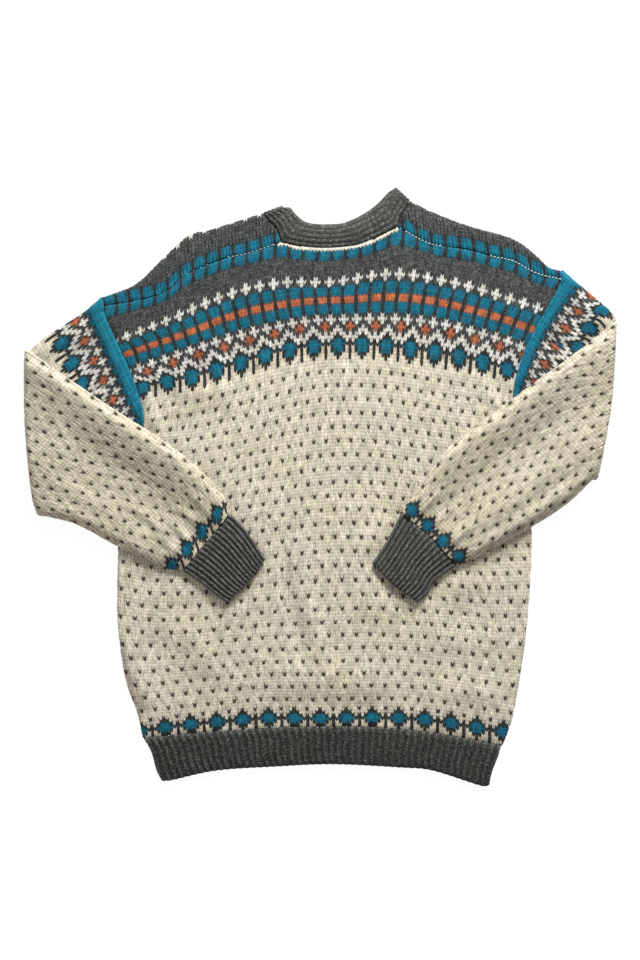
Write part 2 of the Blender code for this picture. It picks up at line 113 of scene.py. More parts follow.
# Rows of blocks: first course, height, and how far they spread over the wale between them, in wales, at half
# their height and at their corners.
YOKE_BLOCKS = ((-9, 3, 0.12, -0.2), (2, 3, 0.12, -0.15), (5, 2, 0.0, -0.3), (7, 3, 0.12, -0.15))
SLEEVE_BLOCKS = ((4, 1, 0.05, -0.25),)
# That course is a white one, drawn in cream there as painted shade from the neckband.
NECK_WALES = (-13, 21)  # over which the course next to the neckband is cream
CUFF_TREES = 7  # courses of trees above a cuff
PLAIN_OVER_TREES = 4
# The front has more courses of lice than the back: two repeats, worked again from a course of the back's.
FRONT_EXTRA, FRONT_EXTRA_AFTER, REPEATED_LICE = 16, 60, 46

# Lines of the flat garment, each a row of (across, up) in millimetres: across from the middle, and up from
# the lowest corner of the hem. A line runs upwards, from the neck outwards or from left to right.
HEM_LOWER = ((-199, 7), (-186, 7), (-130, 19), (-57, 24), (16, 27), (99, 23), (141, 19), (202, 0), (211, 4))
HEM_UPPER = ((-222, 60), (-130, 68), (-47, 73), (49, 74), (120, 69), (180, 60), (228, 50))
BACK_NECK = ((-49, 680), (-32, 676), (-15, 673), (9, 672), (36, 674), (51, 677), (74, 687), (97, 699))
BACK_RIM = (
    (-47, 727), (-38, 724), (-29, 714), (-19, 706), (-6, 703), (12, 702.6), (32, 705), (56, 716.5),
    (72, 728.5), (84, 741), (95, 750),
)
FRONT_NECK = ((-72, 718), (-58, 678), (-30, 640), (20, 624), (70, 648), (98, 690), (114, 733))
FRONT_RIM = ((-47, 727), (-37, 697), (-16, 667), (18, 655), (54, 672), (77, 702), (95, 750))
HEM_SIDE = {
    "left": ((-199, 7), (-206, 21), (-212, 42), (-222, 60)),
    "right": ((211, 4), (215, 19), (224, 38), (228, 50)),
}
SIDE = {
    "left": ((-222, 60), (-229, 92), (-240, 121), (-248, 158), (-254, 215), (-253, 299), (-254, 374)),
    "right": ((228, 50), (236, 69), (244, 100), (257, 182), (264, 270), (265, 325), (265, 405)),
}
ARMHOLE = {
    "left": ((-254, 374), (-233, 405), (-222, 450), (-227, 485), (-245, 532), (-269, 585), (-274, 612)),
    "right": ((265, 405), (247, 434), (244, 490), (249, 519), (264, 559), (287, 600), (302, 628), (304, 645)),
}
SHOULDER_FOLD = {
    "left": ((-72, 718), (-110, 706), (-142, 696), (-164, 691), (-195, 663), (-231, 629), (-274, 612)),
    "right": ((114, 733), (135, 722), (182, 703), (240, 686), (269, 666), (285, 651), (304, 645)),
}
SHOULDER_SEAM = {
    "left": ((-49, 680), (-90, 666), (-121, 659), (-166, 640), (-190, 620), (-216, 610), (-272, 600)),
    "right": ((97, 699), (124, 684), (145, 676), (182, 671), (216, 662), (242, 656), (271, 641), (303, 633)),
}
NECK_WRAP = {
    "left": ((-72, 718), (-64, 707), (-54, 696), (-49, 680)),
    "right": ((114, 733), (101, 712), (97, 699)),
}
UPPER_ARM_TOP = {
    "left": ((-274, 612), (-297, 592), (-337, 566), (-371, 544)),
    "right": ((304, 645), (319, 632), (356, 601), (374, 589)),
}
UPPER_ARM_UNDER = {
    "left": ((-254, 374), (-304, 356), (-354, 337)),
    "right": ((265, 405), (306, 393), (348, 382)),
}
SLEEVE_FOLD = {
    "left": ((-354, 337), (-361, 360), (-367, 410), (-371, 466), (-371, 544)),
    "right": ((348, 382), (357, 425), (366, 479), (370, 532), (372, 577)),
}
FOREARM_TOP = {
    "left": ((-371, 544), (-313, 510), (-252, 468), (-190, 429), (-147, 394), (-121, 364), (-112, 341)),
    "right": ((372, 577), (321, 545), (264, 502), (224, 472), (159, 423), (119, 369), (100, 342)),
}
FOREARM_UNDER = {
    "left": ((-354, 337), (-329, 334), (-300, 325), (-252, 299), (-200, 275), (-172, 268)),
    "right": ((348, 382), (304, 349), (245, 312), (187, 281), (171, 275)),
}
CUFF_START = {
    "left": ((-172, 268), (-140, 307), (-112, 341)),
    "right": ((171, 275), (137, 311), (100, 342)),
}
CUFF_END = {
    "left": ((-116, 229), (-91, 254), (-67, 285)),
    "right": ((123, 229), (92, 251), (64, 280)),
}
CUFF_TOP = {
    "left": ((-112, 341), (-105, 336), (-89, 318), (-67, 285)),
    "right": ((100, 342), (95, 332), (80, 304), (64, 280)),
}
CUFF_UNDER = {
    "left": ((-172, 268), (-151, 254), (-126, 234), (-116, 229)),
    "right": ((171, 275), (145, 256), (135, 240), (123, 229)),
}

# How the courses of the back lie, by their number on the chart.
BACK_COURSES = {
    -9: (
        (-300, 592), (-216, 609), (-190, 619), (-166, 639), (-121, 657), (-90, 664), (-49, 673.2),
        (-32, 669.5), (-15, 667.6), (9, 666.9), (36, 669.2), (60, 674.2), (80, 683), (97, 690.5),
        (124, 683), (145, 675), (182, 670), (216, 661), (242, 655), (271, 640), (320, 628),
    ),
    0: (
        (-300, 536), (-242, 562), (-191, 582), (-142, 604), (-94, 621), (-41, 630), (12, 630), (65, 638),
        (100, 640), (134, 636), (186, 625), (235, 610), (269, 599), (320, 580),
    ),
    5.5: (
        (-300, 515), (-239, 541), (-174, 563), (-111, 587), (-62, 599), (-12, 606), (37, 608), (87, 611),
        (137, 607), (186, 596), (235, 582), (265, 571), (320, 552),
    ),
    13: (
        (-300, 488), (-210, 520), (-149, 540), (-87, 557), (-25, 571), (37, 575), (101, 574), (162, 566),
        (224, 550), (250, 540), (320, 514),
    ),
    19: (
        (-300, 466), (-223, 496), (-159, 509), (-99, 527), (-39, 543), (23, 549), (84, 547), (144, 539),
        (204, 527), (234, 518), (320, 490),
    ),
    26: (
        (-300, 445), (-215, 471), (-155, 481), (-122, 489), (-60, 505), (-10, 516), (30, 519), (80, 517),
        (131, 510), (191, 500), (245, 492), (320, 478),
    ),
    50: (
        (-300, 378), (-215, 383), (-160, 387), (-111, 394), (-60, 404), (0, 413), (40, 415), (78, 413),
        (107, 410), (139, 406), (200, 400), (320, 396),
    ),
    78: (
        (-300, 286), (-244, 280), (-209, 274), (-160, 274), (-110, 281), (-60, 287), (0, 293), (40, 294),
        (90, 292), (150, 286), (205, 283), (250, 284), (320, 288),
    ),
    94: (
        (-300, 218), (-250, 212), (-212, 208), (-179, 208), (-144, 210), (-107, 214), (-54, 218), (5, 221),
        (64, 222.5), (110, 220), (162, 217), (215, 213), (248, 213), (320, 213),
    ),
    128.5: (
        (-300, 54), (-195, 71), (-129, 78), (-65, 83), (1, 82), (66, 83.5), (130, 81), (196, 71), (320, 48),
    ),
    140: ((-300, 6), (-130, 29), (-47, 34), (49, 35), (120, 30), (228, 12), (320, 0)),
}
# From course 19 to 128.5 these numbers came out of a least-squares fit, and some were changed a little after
# it. FRONT_WALES and SLEEVE_LATTICE come from such fits too, mostly rounded, and BACK_COURSES was moved by
# what the fit gave. None of them was worked out from the garment's sizes.
BACK_WALES = {  # where wales -56, -28, 0, 28 and 56 are across, by course
    -9: (-230, -117, 6, 131, 255),
    0: (-233.5, -118.5, 3, 126, 246),
    5.5: (-223.5, -112.7, 2.8, 121, 235.3),
    13: (-215.5, -104, 6.5, 116.8, 224.4),
    19: (-205.6, -98.3, 7.4, 112.7, 218.7),
    34: (-211, -100.1, 7, 111.5, 214.6),
    50: (-218.7, -103, 8.1, 115.7, 221.3),
    64: (-223.4, -104.4, 9.5, 120.1, 229.3),
    78: (-228.5, -106.2, 10.9, 125.3, 239.4),
    94: (-231.5, -106.9, 10.8, 130.2, 248.9),
    110: (-225.3, -103.6, 12.2, 131.7, 250.4),
    128.5: (-209.5, -96.3, 17, 131, 245),
    140: (-209, -96.3, 17, 131, 245),
}
TABLE_WALES = (-56, -28, 0, 28, 56)
# The same for the front, on the floor, under its first courses, which lie along the shoulder seams.
FRONT_COURSES = {
    60: ((-300, 322), (-254, 335), (-120, 385), (20, 405), (140, 395), (265, 352), (320, 335)),
    100: ((-300, 212), (-240, 214), (-120, 231), (20, 240), (140, 234), (255, 216), (320, 205)),
    146: (
        (-300, 50), (-222, 60), (-130, 68), (-47, 73), (49, 74), (120, 69), (180, 60), (228, 50), (320, 34),
    ),
}
FRONT_WALES = {
    -9.2: (-230, -117, 6, 131, 255),
    0: (-236, -119, 3, 126, 246),
    10: (-226, -111, 6, 122, 238),
    30: (-212, -101, 7.6, 117, 226),
    60: (-222, -105, 9, 124, 238),
    100: (-231, -107, 12.6, 130, 249),
    146: (-209.5, -96.3, 17, 131, 245),
    160: (-209, -96.3, 17, 131, 245),
}
COURSE_DEPTH = 5.4 * MM
SHOULDER_SEAM_COURSE = -9.2
FRONT_SHOULDER_COURSES = 15  # from the seam, before they begin to straighten

# A sleeve's faces. "top" is the face that shows on the folded forearm and lies on the floor at the upper
# arm, "back" the other one. By course, rows is the place along the top edge from the cuff, negative before
# it; lean is the slant from straight down, towards the body, as the sleeve would lie unfolded; wale is the
# stitches' width in millimetres; and first is the chart's column at the top edge. bend is how many degrees
# the courses turn back in 100 mm. These numbers are fitted ones, as said over BACK_WALES.
SLEEVE_LATTICE = {
    ("left", "top"): dict(
        courses=103,
        rows=(
            (0, -458.2), (27, -327.7), (45, -242.6), (62, -168.1), (75, -109.7), (84, -74), (92, -43.2),
            (103, 4.5),
        ),
        lean=((0, 23), (27, 43.4), (45, 46), (62, 49.3), (80, 54.1), (103, 49.2)),
        wale=((0, 3.51), (27, 3.6), (62, 3.78), (85, 3.77), (103, 3.49)),
        first=((0, -2.2), (30, -0.83), (50, -0.82), (65, -1.09), (80, -1.24), (103, -1.33)),
        bend=0,
    ),
    ("left", "back"): dict(
        courses=103,
        rows=((0, -442.6), (5, -416.6), (8.5, -401.1), (14, -372.4), (30, -303), (103, -2)),
        lean=((0, 25.4), (5, 25.2), (14, 27.5), (30, 42.1), (60, 50), (103, 48.5)),
        wale=((0, 3.4), (8.5, 3.4), (14, 3.55), (103, 3.6)),
        first=((0, -1.22), (14, -1.35), (103, -2.0)),
        bend=0,
    ),
    ("right", "top"): dict(
        courses=105,
        rows=(
            (0, -469.1), (22, -355.3), (40, -277.5), (55, -209.5), (70, -144.2), (82, -93.7), (94, -43.5),
            (105, 4.9),
        ),
        lean=((0, 33), (22, 54.7), (40, 55.6), (60, 56.5), (80, 58.1), (105, 59.4)),
        wale=((0, 3.5), (22, 3.74), (55, 3.8), (85, 3.77), (105, 3.3)),
        first=((0, -0.35), (30, 1.56), (50, 3.75), (65, 2.56), (80, 0.83), (105, 0.76)),
        bend=0,
    ),
    ("right", "back"): dict(
        courses=105,
        rows=((0, -447.4), (5, -422.1), (8.5, -403.8), (14.5, -381.4), (24, -336.5), (105, -2)),
        lean=((0, 38.1), (5, 42.6), (8.5, 43.7), (14.5, 38.4), (24, 52), (105, 58)),
        wale=((0, 3.31), (8.5, 3.25), (14.5, 3.56), (105, 3.6)),
        first=((0, -7.7), (8.5, -8.5), (14.5, -5.4), (24, -5.2), (105, -5.2)),
        bend=16.6,
    ),
}
SLEEVE_WALES = 62

# Soft creases: a route, its width and its height in millimetres; a trough's height is negative.
BODY_CREASES = (
    (((-188, 520), (-190, 480), (-194, 430)), 7, -3.4),
    (((-222, 500), (-212, 470), (-206, 430)), 8, 2.4),
    (((-186, 448), (-150, 450), (-108, 462)), 15, -3.0),
    (((-196, 500), (-150, 494), (-110, 500)), 13, 2.2),
    (((205, 532), (218, 505), (233, 480)), 6, -3.0),
    (((195, 522), (206, 498), (216, 480)), 8, 2.0),
    (((-20, 330), (-48, 300), (-30, 200), (-14, 135)), 9, -2.2),
    (((-2, 330), (-30, 290), (-12, 200), (4, 140)), 13, 2.0),
    (((-85, 130), (0, 136), (100, 130)), 26, 2.6),
    (((-60, 96), (10, 100), (90, 96)), 14, -1.8),
    (((-247, 196), (-234, 142), (-212, 98)), 16, 3.6),
    (((-205, 190), (-186, 150), (-158, 108)), 15, -1.6),
    (((-168, 205), (-148, 168), (-122, 130)), 16, 2.6),
    (((150, 122), (195, 116), (225, 108)), 17, 2.4),
    (((60, 330), (74, 260), (66, 200)), 28, 2.2),
    (((130, 196), (170, 180), (230, 186)), 18, 1.6),
    (((-120, 270), (-160, 252), (-200, 250)), 16, 1.8),
    (((140, 250), (180, 250), (225, 262)), 16, 1.6),
)
# The broad swell of a folded forearm, in millimetres: by its share of the way from the fold to the cuff, its
# height at shares of the way across from the top edge to the under edge.
SWELL_SHARES = (0, 0.04, 0.08, 0.15, 0.25, 0.4, 0.55, 0.7, 0.86, 1)
FOREARM_SWELL = {
    "left": {
        0: (0, 4.5, 6.0, 3.4, 1.0, 0.6, 3.2, 3.0, 1.6, 1.6),
        0.42: (0, 6.0, 8.0, 7.4, 4.2, -1.6, -2.4, -1.0, 1.2, 1.2),
        1: (0, 2.8, 4.2, 4.0, 2.4, 0.0, 0.0, 1.2, 1.6, 1.2),
    },
    "right": {
        0: (0, 3.0, 4.4, 3.8, 2.0, 0.4, 2.2, 4.2, 3.6, 3.2),
        0.3: (0, 3.8, 5.2, 4.6, 1.6, -2.2, 0.6, 4.6, 4.6, 4.0),
        0.65: (0, 3.8, 5.2, 4.6, 1.6, -2.2, 0.6, 4.6, 4.6, 4.0),
        1: (0, 2.0, 3.0, 2.6, 1.0, -0.6, 0.8, 2.6, 2.4, 2.0),
    },
}
FOREARM_CREASES = {
    "left": (
        (((-350, 452), (-332, 432), (-306, 410)), 18, 2.0),
        (((-352, 388), (-310, 370), (-262, 340), (-222, 308)), 9, 1.2),
        (((-340, 350), (-300, 338), (-250, 310), (-205, 288)), 8, 1.0),
        (((-250, 356), (-215, 334), (-186, 308)), 7, 1.8),
        (((-232, 338), (-205, 316), (-180, 298)), 5, -0.9),
        (((-190, 332), (-170, 314), (-158, 298)), 5, 2.2),
        (((-180, 350), (-160, 334), (-143, 318)), 5, 2.0),
        (((-206, 316), (-186, 300), (-172, 286)), 5, 2.2),
        (((-162, 366), (-144, 348), (-131, 332)), 5, 2.0),
    ),
    "right": (
        (((330, 404), (280, 364), (230, 328), (196, 304)), 8, -1.4),
        (((318, 378), (275, 348), (230, 320), (192, 296)), 7, 2.0),
        (((172, 352), (152, 336), (139, 322)), 5, 2.6),
        (((152, 370), (134, 352), (122, 338)), 5, 2.4),
        (((192, 328), (172, 312), (158, 300)), 5, 2.8),
    ),
}
UPPER_ARM_CREASES = {
    "left": ((((-290, 575), (-330, 552), (-358, 535)), 12, 2.4), (((-262, 500), (-300, 490)), 9, -1.4)),
    "right": ((((318, 612), (345, 585), (362, 568)), 12, 2.4), (((286, 555), (315, 545)), 9, -1.4)),
}
FOREARM_CROWN, FOREARM_CROWN_REACH = 1.6 * MM, 9 * MM
BODY_CROWN, BODY_CROWN_REACH = 0.8 * MM, 14 * MM
DEEPEST = {"body": 1.5 * MM, "forearm": 2.4 * MM}  # of the troughs
SHADE_REACH = 13 * MM  # how far round a folded sleeve the body is pressed flat
BAND_RISE = 3.2 * MM  # of the sleeve's first courses, which roll over the armhole seam
BAND_WIDTH = 21 * MM
BAND_OVERLAP = 2.2 * MM
SLEEVE_EDGE = 9 * MM  # over which a sleeve's relief fades out towards its edges
BULGE_REACH = 55 * MM  # over which a sleeve follows the curve of its fold

# Ribs.
HEM_RIBS = 50  # that show on one side
CUFF_RIBS = {"left": 14, "right": 13}
HEM_RIB_COURSES, CUFF_RIB_COURSES = 13, 19
HEM_RIB_RISE, CUFF_RIB_RISE = 0.8 * MM, 1.6 * MM
RIB_STITCH_RISE, HEM_STITCH_RISE = 0.6 * MM, 0.8 * MM
RIB_PLUMP = (0.55, 1.0)
# Against a leg's rise, which also sets their painted shade: knitted wale, side, purled wale, side.
HEM_RIB_DEPTHS = (0.4, -0.2, -0.95, -0.2)
CUFF_RIB_DEPTHS = (0.5, -0.1, -1.2, -0.1)
BAND_RIDGES, BAND_ROUND = 5, 132
RIDGE_RISE = 1.3 * MM
RIB_LEVEL = HALF - STITCH_RISE - 0.3 * MM  # of the foot of a rib or a ridge
COLUMNS_PER_RIB = 4  # two for the legs of its knitted wale, two for the purled one

# Where the thread of a shoulder seam shows: from and to (across), and the stitches' pitch, half length and
# half thickness, in millimetres.
SEAM_STITCHES = {
    "left": ((-166, -141, 6.5, 1.0, 0.45), (-114, -60, 4.6, 1.9, 0.5)),
    "right": ((108, 150, 4.2, 1.9, 0.8), (214, 300, 4.4, 1.9, 0.85)),
}

rng = np.random.default_rng(31)


# ---------------------------------------------------------------- lines and measures


def metres(rows):
    return (np.array(rows, float) - CENTRE) * MM


def unit(vector):
    return vector / np.linalg.norm(vector)


def cubic(keys, values, at):
    """A smooth curve through values at rising keys, read at many places; values may have more axes."""
    keys, values, at = (np.asarray(x, float) for x in (keys, values, at))
    slopes = np.empty_like(values)
    shape = (-1,) + (1,) * (values.ndim - 1)
    slopes[1:-1] = (values[2:] - values[:-2]) / (keys[2:] - keys[:-2]).reshape(shape)
    slopes[0] = (values[1] - values[0]) / (keys[1] - keys[0])
    slopes[-1] = (values[-1] - values[-2]) / (keys[-1] - keys[-2])
    k = np.clip(np.searchsorted(keys, at, side="right") - 1, 0, len(keys) - 2)
    span = keys[k + 1] - keys[k]
    t = np.clip((at - keys[k]) / span, -0.5, 1.5)
    if values.ndim == 1:
        picked = [values[k], values[k + 1], slopes[k], slopes[k + 1]]
    else:  # one value for each place
        places = np.arange(len(at))
        picked = [values[k, places], values[k + 1, places], slopes[k, places], slopes[k + 1, places]]
    inside_t = np.clip(t, 0, 1)
    over = (t - inside_t) * span
    t = inside_t
    curve = (1 + 2 * t) * (1 - t) ** 2 * picked[0] + t**2 * (3 - 2 * t) * picked[1]
    curve += span * (t * (1 - t) ** 2 * picked[2] + t**2 * (t - 1) * picked[3])
    return curve + over * np.where(over < 0, picked[2], picked[3])


class Line:
    """A smooth line through a row of (across, up) points, read by its share of the length."""

    STEPS = 16

    def __init__(self, knots):
        knots = np.asarray(knots, float)
        before = np.vstack([2 * knots[0] - knots[1], knots[:-1]])
        after = np.vstack([knots[1:], 2 * knots[-1] - knots[-2]])
        slopes = (after - before) / 2
        along = np.linspace(0, 1, self.STEPS, endpoint=False)[:, None]
        spans = [
            (1 + 2 * along) * (1 - along) ** 2 * knots[i]
            + along * (1 - along) ** 2 * slopes[i]
            + along**2 * (3 - 2 * along) * knots[i + 1]
            + along**2 * (along - 1) * slopes[i + 1]
            for i in range(len(knots) - 1)
        ]
        self.measure(np.vstack(spans + [knots[-1:]]))

    def measure(self, points):
        self.points = points
        steps = np.linalg.norm(np.diff(points, axis=0), axis=1)
        self.length = steps.sum()
        self.shares = np.concatenate([[0], np.cumsum(steps)]) / self.length
        return self

    @classmethod
    def through(cls, points):
        """A line that is already fine enough."""
        return cls.__new__(cls).measure(np.asarray(points, float))

    def at(self, shares):
        return np.stack([np.interp(shares, self.shares, self.points[:, i]) for i in (0, 1)], axis=-1)


def line(rows):
    return Line(metres(rows))


def nearest(points, route, closed=False):
    """For each point: its distance to a route, and the way to the route's left-hand side there."""
    ends = np.roll(route, -1, axis=0) if closed else route[1:]
    best = np.full(len(points), np.inf)
    foot, left = np.zeros((len(points), 2)), np.zeros((len(points), 2))
    for a, b in zip(route, ends):
        step = b - a
        length = np.hypot(*step)
        if length < 1e-9:
            continue
        t = np.clip((points - a) @ step / length**2, 0, 1)
        spot = a + t[:, None] * step
        away = np.hypot(points[:, 0] - spot[:, 0], points[:, 1] - spot[:, 1])
        closer = away < best
        best[closer] = away[closer]
        foot[closer] = spot[closer]
        left[closer] = (-step[1] / length, step[0] / length)
    return best, foot, left


def inside(points, outline):
    x, y = points.T
    within = np.zeros(len(points), bool)
    for (ax, ay), (bx, by) in zip(outline, np.roll(outline, -1, axis=0)):
        if ay != by:
            within ^= ((ay > y) != (by > y)) & (x < (bx - ax) * (y - ay) / (by - ay) + ax)
    return within


def smooth_step(low, high, value):
    t = np.clip((value - low) / (high - low), 0, 1)
    return t * t * (3 - 2 * t)


def rounded(distance, radius=HALF):
    """The height of a rounded edge, from 0 at the edge to its radius."""
    return np.sqrt(np.clip(1 - (1 - np.clip(distance / radius, 0, 1)) ** 2, 0, 1)) * radius


def creases(points, rows):
    """The height of soft creases at each point: highest along their middle, and fading at both ends."""
    height = np.zeros(len(points))
    for route, width, rise in rows:
        path = line(route).points[::4]
        steps = np.diff(path, axis=0)
        lengths = np.linalg.norm(steps, axis=1)
        starts = np.concatenate([[0], np.cumsum(lengths)])
        best, along = np.full(len(points), np.inf), np.zeros(len(points))
        for a, step, length, start in zip(path, steps, lengths, starts):
            t = np.clip((points - a) @ step / length**2, 0, 1)
            away = np.hypot(*(points - a - t[:, None] * step).T)
            closer = away < best
            best[closer] = away[closer]
            along[closer] = (start + t * length)[closer]
        share = along / starts[-1]
        fade = smooth_step(-0.12, 0.25, share) * smooth_step(-0.12, 0.25, 1 - share)
        height += rise * MM * np.exp(-((best / (width * MM)) ** 2)) * fade
    return height


def shallow(height, deepest):
    """Heights whose troughs are kept from going deeper than the fabric allows."""
    return np.where(height < 0, -deepest * np.tanh(-height / deepest), height)


# ---------------------------------------------------------------- knitting


class Skin:
    """One knitted face: its lattice, its outline, and where each point of it lies in space.

    flat(wale, course) gives the middle of a stitch on the flat fabric; outline is a closed ring of flat
    points; round_edges are the routes along which it is an edge of a flat tube; place(flat, outer, edge)
    gives the points in space of the outer or inner face, edge being the distance to those routes.
    """

    def __init__(self, flat, wales, courses, outline, round_edges, place, chart, blocks):
        self.flat, self.wales, self.courses, self.blocks = flat, wales, courses, blocks
        self.outline, self.round_edges, self.place, self.chart = outline, round_edges, place, chart

    def edge(self, points):
        """The distance to the nearest rounded edge, and the way inwards from it."""
        if not self.round_edges:
            return np.full(len(points), 1.0), np.zeros((len(points), 2))
        found = [nearest(points, route) for route in self.round_edges]
        distance = np.min([f[0] for f in found], axis=0)
        inwards = np.zeros((len(points), 2))
        for near, _, left in found:
            inwards[near == distance] = left[near == distance]
        return distance, inwards


def crowd(half_wale, course, blocks):
    """Half wales moved where a block's stitches spread over the wale beside it or draw in at its corners."""
    spread = np.zeros(len(half_wale))
    for start, height, middle, corner in blocks:
        share = (course - start) / height
        within = (share >= 0) & (share <= 1)
        bulge = corner + (middle - corner) * np.sin(np.clip(share, 0, 1) * math.pi) ** 0.6
        spread[within] = bulge[within]
    sides = ((half_wale - 3) % 8 == 0).astype(int) - ((half_wale - 5) % 8 == 0)
    return half_wale + 2 * spread * sides


def lattice_places(count):
    """How far up the V's zigzag each half wale is: tips at whole numbers, arms between them."""
    return np.where(np.arange(count + 1) % 2 == 0, 0.5, -0.5) * ZIGZAG


def knit(skin):
    """The closed shell of one skin: a bmesh whose outer faces carry their stitch, and the outer faces."""
    first_wale, last_wale = skin.wales
    first_course, last_course = skin.courses
    wide, deep = 2 * (last_wale - first_wale), last_course - first_course
    bm = bmesh.new()
    bmesh.ops.create_grid(bm, x_segments=wide, y_segments=deep, size=1)
    grid = np.array([v.co[:2] for v in bm.verts])
    column = np.rint((grid[:, 0] + 1) / 2 * wide).astype(int)
    course = first_course + (1 - grid[:, 1]) / 2 * deep
    half_wale = crowd(2 * first_wale + column, course, skin.blocks)
    flat = skin.flat(half_wale / 2, course - 0.5 + lattice_places(wide)[column])
    flat = flat + rng.normal(0, UNEVEN, flat.shape)

    middles = np.array([f.calc_center_median()[:2] for f in bm.faces])
    stitch_wale = np.floor(first_wale + (middles[:, 0] + 1) / 2 * wide / 2 + 0.5).astype(int)
    stitch_course = np.floor(first_course + (1 - middles[:, 1]) / 2 * deep).astype(int)
    wale_layer, course_layer = bm.faces.layers.int.new("wale"), bm.faces.layers.int.new("course")
    for face, w, c in zip(bm.faces, stitch_wale.tolist(), stitch_course.tolist()):
        face[wale_layer] = w
        face[course_layer] = c
    depth = bm.verts.layers.float.new("crest")
    for vert, spot, c in zip(bm.verts, flat.tolist(), column.tolist()):
        vert.co = (*spot, 0)
        vert[depth] = WALE_DEPTHS[c % 2] + rng.normal(0, CREST_UNEVEN)

    centres = np.array([f.calc_center_median()[:2] for f in bm.faces])
    keep = inside(centres, skin.outline)
    bmesh.ops.delete(bm, geom=[f for f, k in zip(bm.faces[:], keep) if not k], context="FACES")
    edge_verts = list({v for e in bm.edges if e.is_boundary for v in e.verts})
    edge_verts.sort(key=lambda v: v.index)
    _, foot, _ = nearest(np.array([v.co[:2] for v in edge_verts]), skin.outline, closed=True)
    for vert, spot in zip(edge_verts, foot.tolist()):
        vert.co = (*spot, 0)
    bmesh.ops.dissolve_degenerate(bm, dist=0.05 * MM, edges=bm.edges[:])
    bmesh.ops.delete(bm, geom=[v for v in bm.verts if not v.link_faces], context="VERTS")

    made = bmesh.ops.extrude_face_region(bm, geom=bm.faces[:], use_keep_orig=True)
    outer_verts = [g for g in made["geom"] if isinstance(g, bmesh.types.BMVert)]
    outer_faces = [g for g in made["geom"] if isinstance(g, bmesh.types.BMFace)]
    is_outer = set(outer_verts)
    inner_verts = [v for v in bm.verts if v not in is_outer]
    for verts, outer in ((outer_verts, True), (inner_verts, False)):
        spots = np.array([v.co[:2] for v in verts])
        distance, inwards = skin.edge(spots)
        if not outer:  # the inner face stops short of a rounded edge
            reach = 3 * EDGE_INSET
            shift = np.clip(EDGE_INSET * (1 - distance / reach), 0, None)
            spots = spots + inwards * shift[:, None]
        for vert, spot in zip(verts, skin.place(spots, outer, distance).tolist()):
            vert.co = spot
    plain_inside(bm, set(inner_verts))
    return bm, outer_faces


def plain_inside(bm, inner_verts):
    """The flat parts of the inner face become larger faces, each of a block of stitches."""
    wale_layer, course_layer = bm.faces.layers.int["wale"], bm.faces.layers.int["course"]
    faces = {f for f in bm.faces if all(v in inner_verts for v in f.verts)}
    for face in faces:
        face.material_index = 1 + (face[wale_layer] // 8) % 16 + 16 * ((face[course_layer] // 8) % 16)
    edges = [e for e in bm.edges if all(f in faces for f in e.link_faces)]
    verts = [v for v in inner_verts if all(f in faces for f in v.link_faces)]
    limit = math.radians(1)
    bmesh.ops.dissolve_limit(bm, angle_limit=limit, verts=verts, edges=edges, delimit={"MATERIAL"})
    for face in bm.faces:
        face.material_index = 0
    bmesh.ops.triangulate(bm, faces=[f for f in bm.faces if len(f.verts) > 4])


def raise_stitches(mesh, rise):
    """Lifts the middle of each leg along its normal."""
    count = len(mesh.vertices)
    spots, normals = np.empty(count * 3, np.float32), np.empty(count * 3, np.float32)
    crest = np.empty(count, np.float32)
    mesh.vertices.foreach_get("co", spots)
    mesh.vertex_normals.foreach_get("vector", normals)
    mesh.attributes["crest"].data.foreach_get("value", crest)
    spots += rise * np.repeat(np.clip(crest, -1.2, 1), 3) * normals
    spots[2::3] = np.maximum(spots[2::3], 0)  # the underside stays flat
    mesh.vertices.foreach_set("co", spots)
    mesh.update()


def colour_stitches(mesh, chart):
    """Gives each face the yarn of its stitch, each stitch a little lighter or darker than the next."""
    count = len(mesh.polygons)
    wale, course = np.empty(count, int), np.empty(count, int)
    mesh.attributes["wale"].data.foreach_get("value", wale)
    mesh.attributes["course"].data.foreach_get("value", course)
    yarn = chart(wale, course)
    tones = np.array([[*YARNS[letter][0], YARNS[letter][1]] for letter in YARN_ORDER])
    colours = tones[yarn]
    shades = rng.normal(1, 1, (512, 512))[wale % 512, course % 512] - 1
    least, mixed = SHADE_UNEVEN
    colours[:, :3] *= np.clip(1 + shades * (least + mixed * colours[:, 3]), 0.5, 1.6)[:, None]
    layer = mesh.attributes.new("yarn", "FLOAT_COLOR", "FACE")
    layer.data.foreach_set("color", colours.ravel())


def letters(*rows):
    """Chart rows as numbers of yarns."""
    return np.array([[YARN_ORDER.index(letter) for letter in row] for row in rows])


def sink_colour_changes(bm, outer_faces, chart, crest):
    """Lowers the fabric a little where two yarns meet, and through the crest paints a dark line of shade
    along the change.
    """
    wale_layer, course_layer = bm.faces.layers.int["wale"], bm.faces.layers.int["course"]
    wales = np.array([face[wale_layer] for face in outer_faces])
    courses = np.array([face[course_layer] for face in outer_faces])
    yarns = dict(zip(outer_faces, chart(wales, courses).tolist()))
    for vert in {v for face in outer_faces for v in face.verts}:
        if len({yarns[face] for face in vert.link_faces if face in yarns}) > 1:
            vert[crest] -= COLOUR_CHANGE_DEPTH


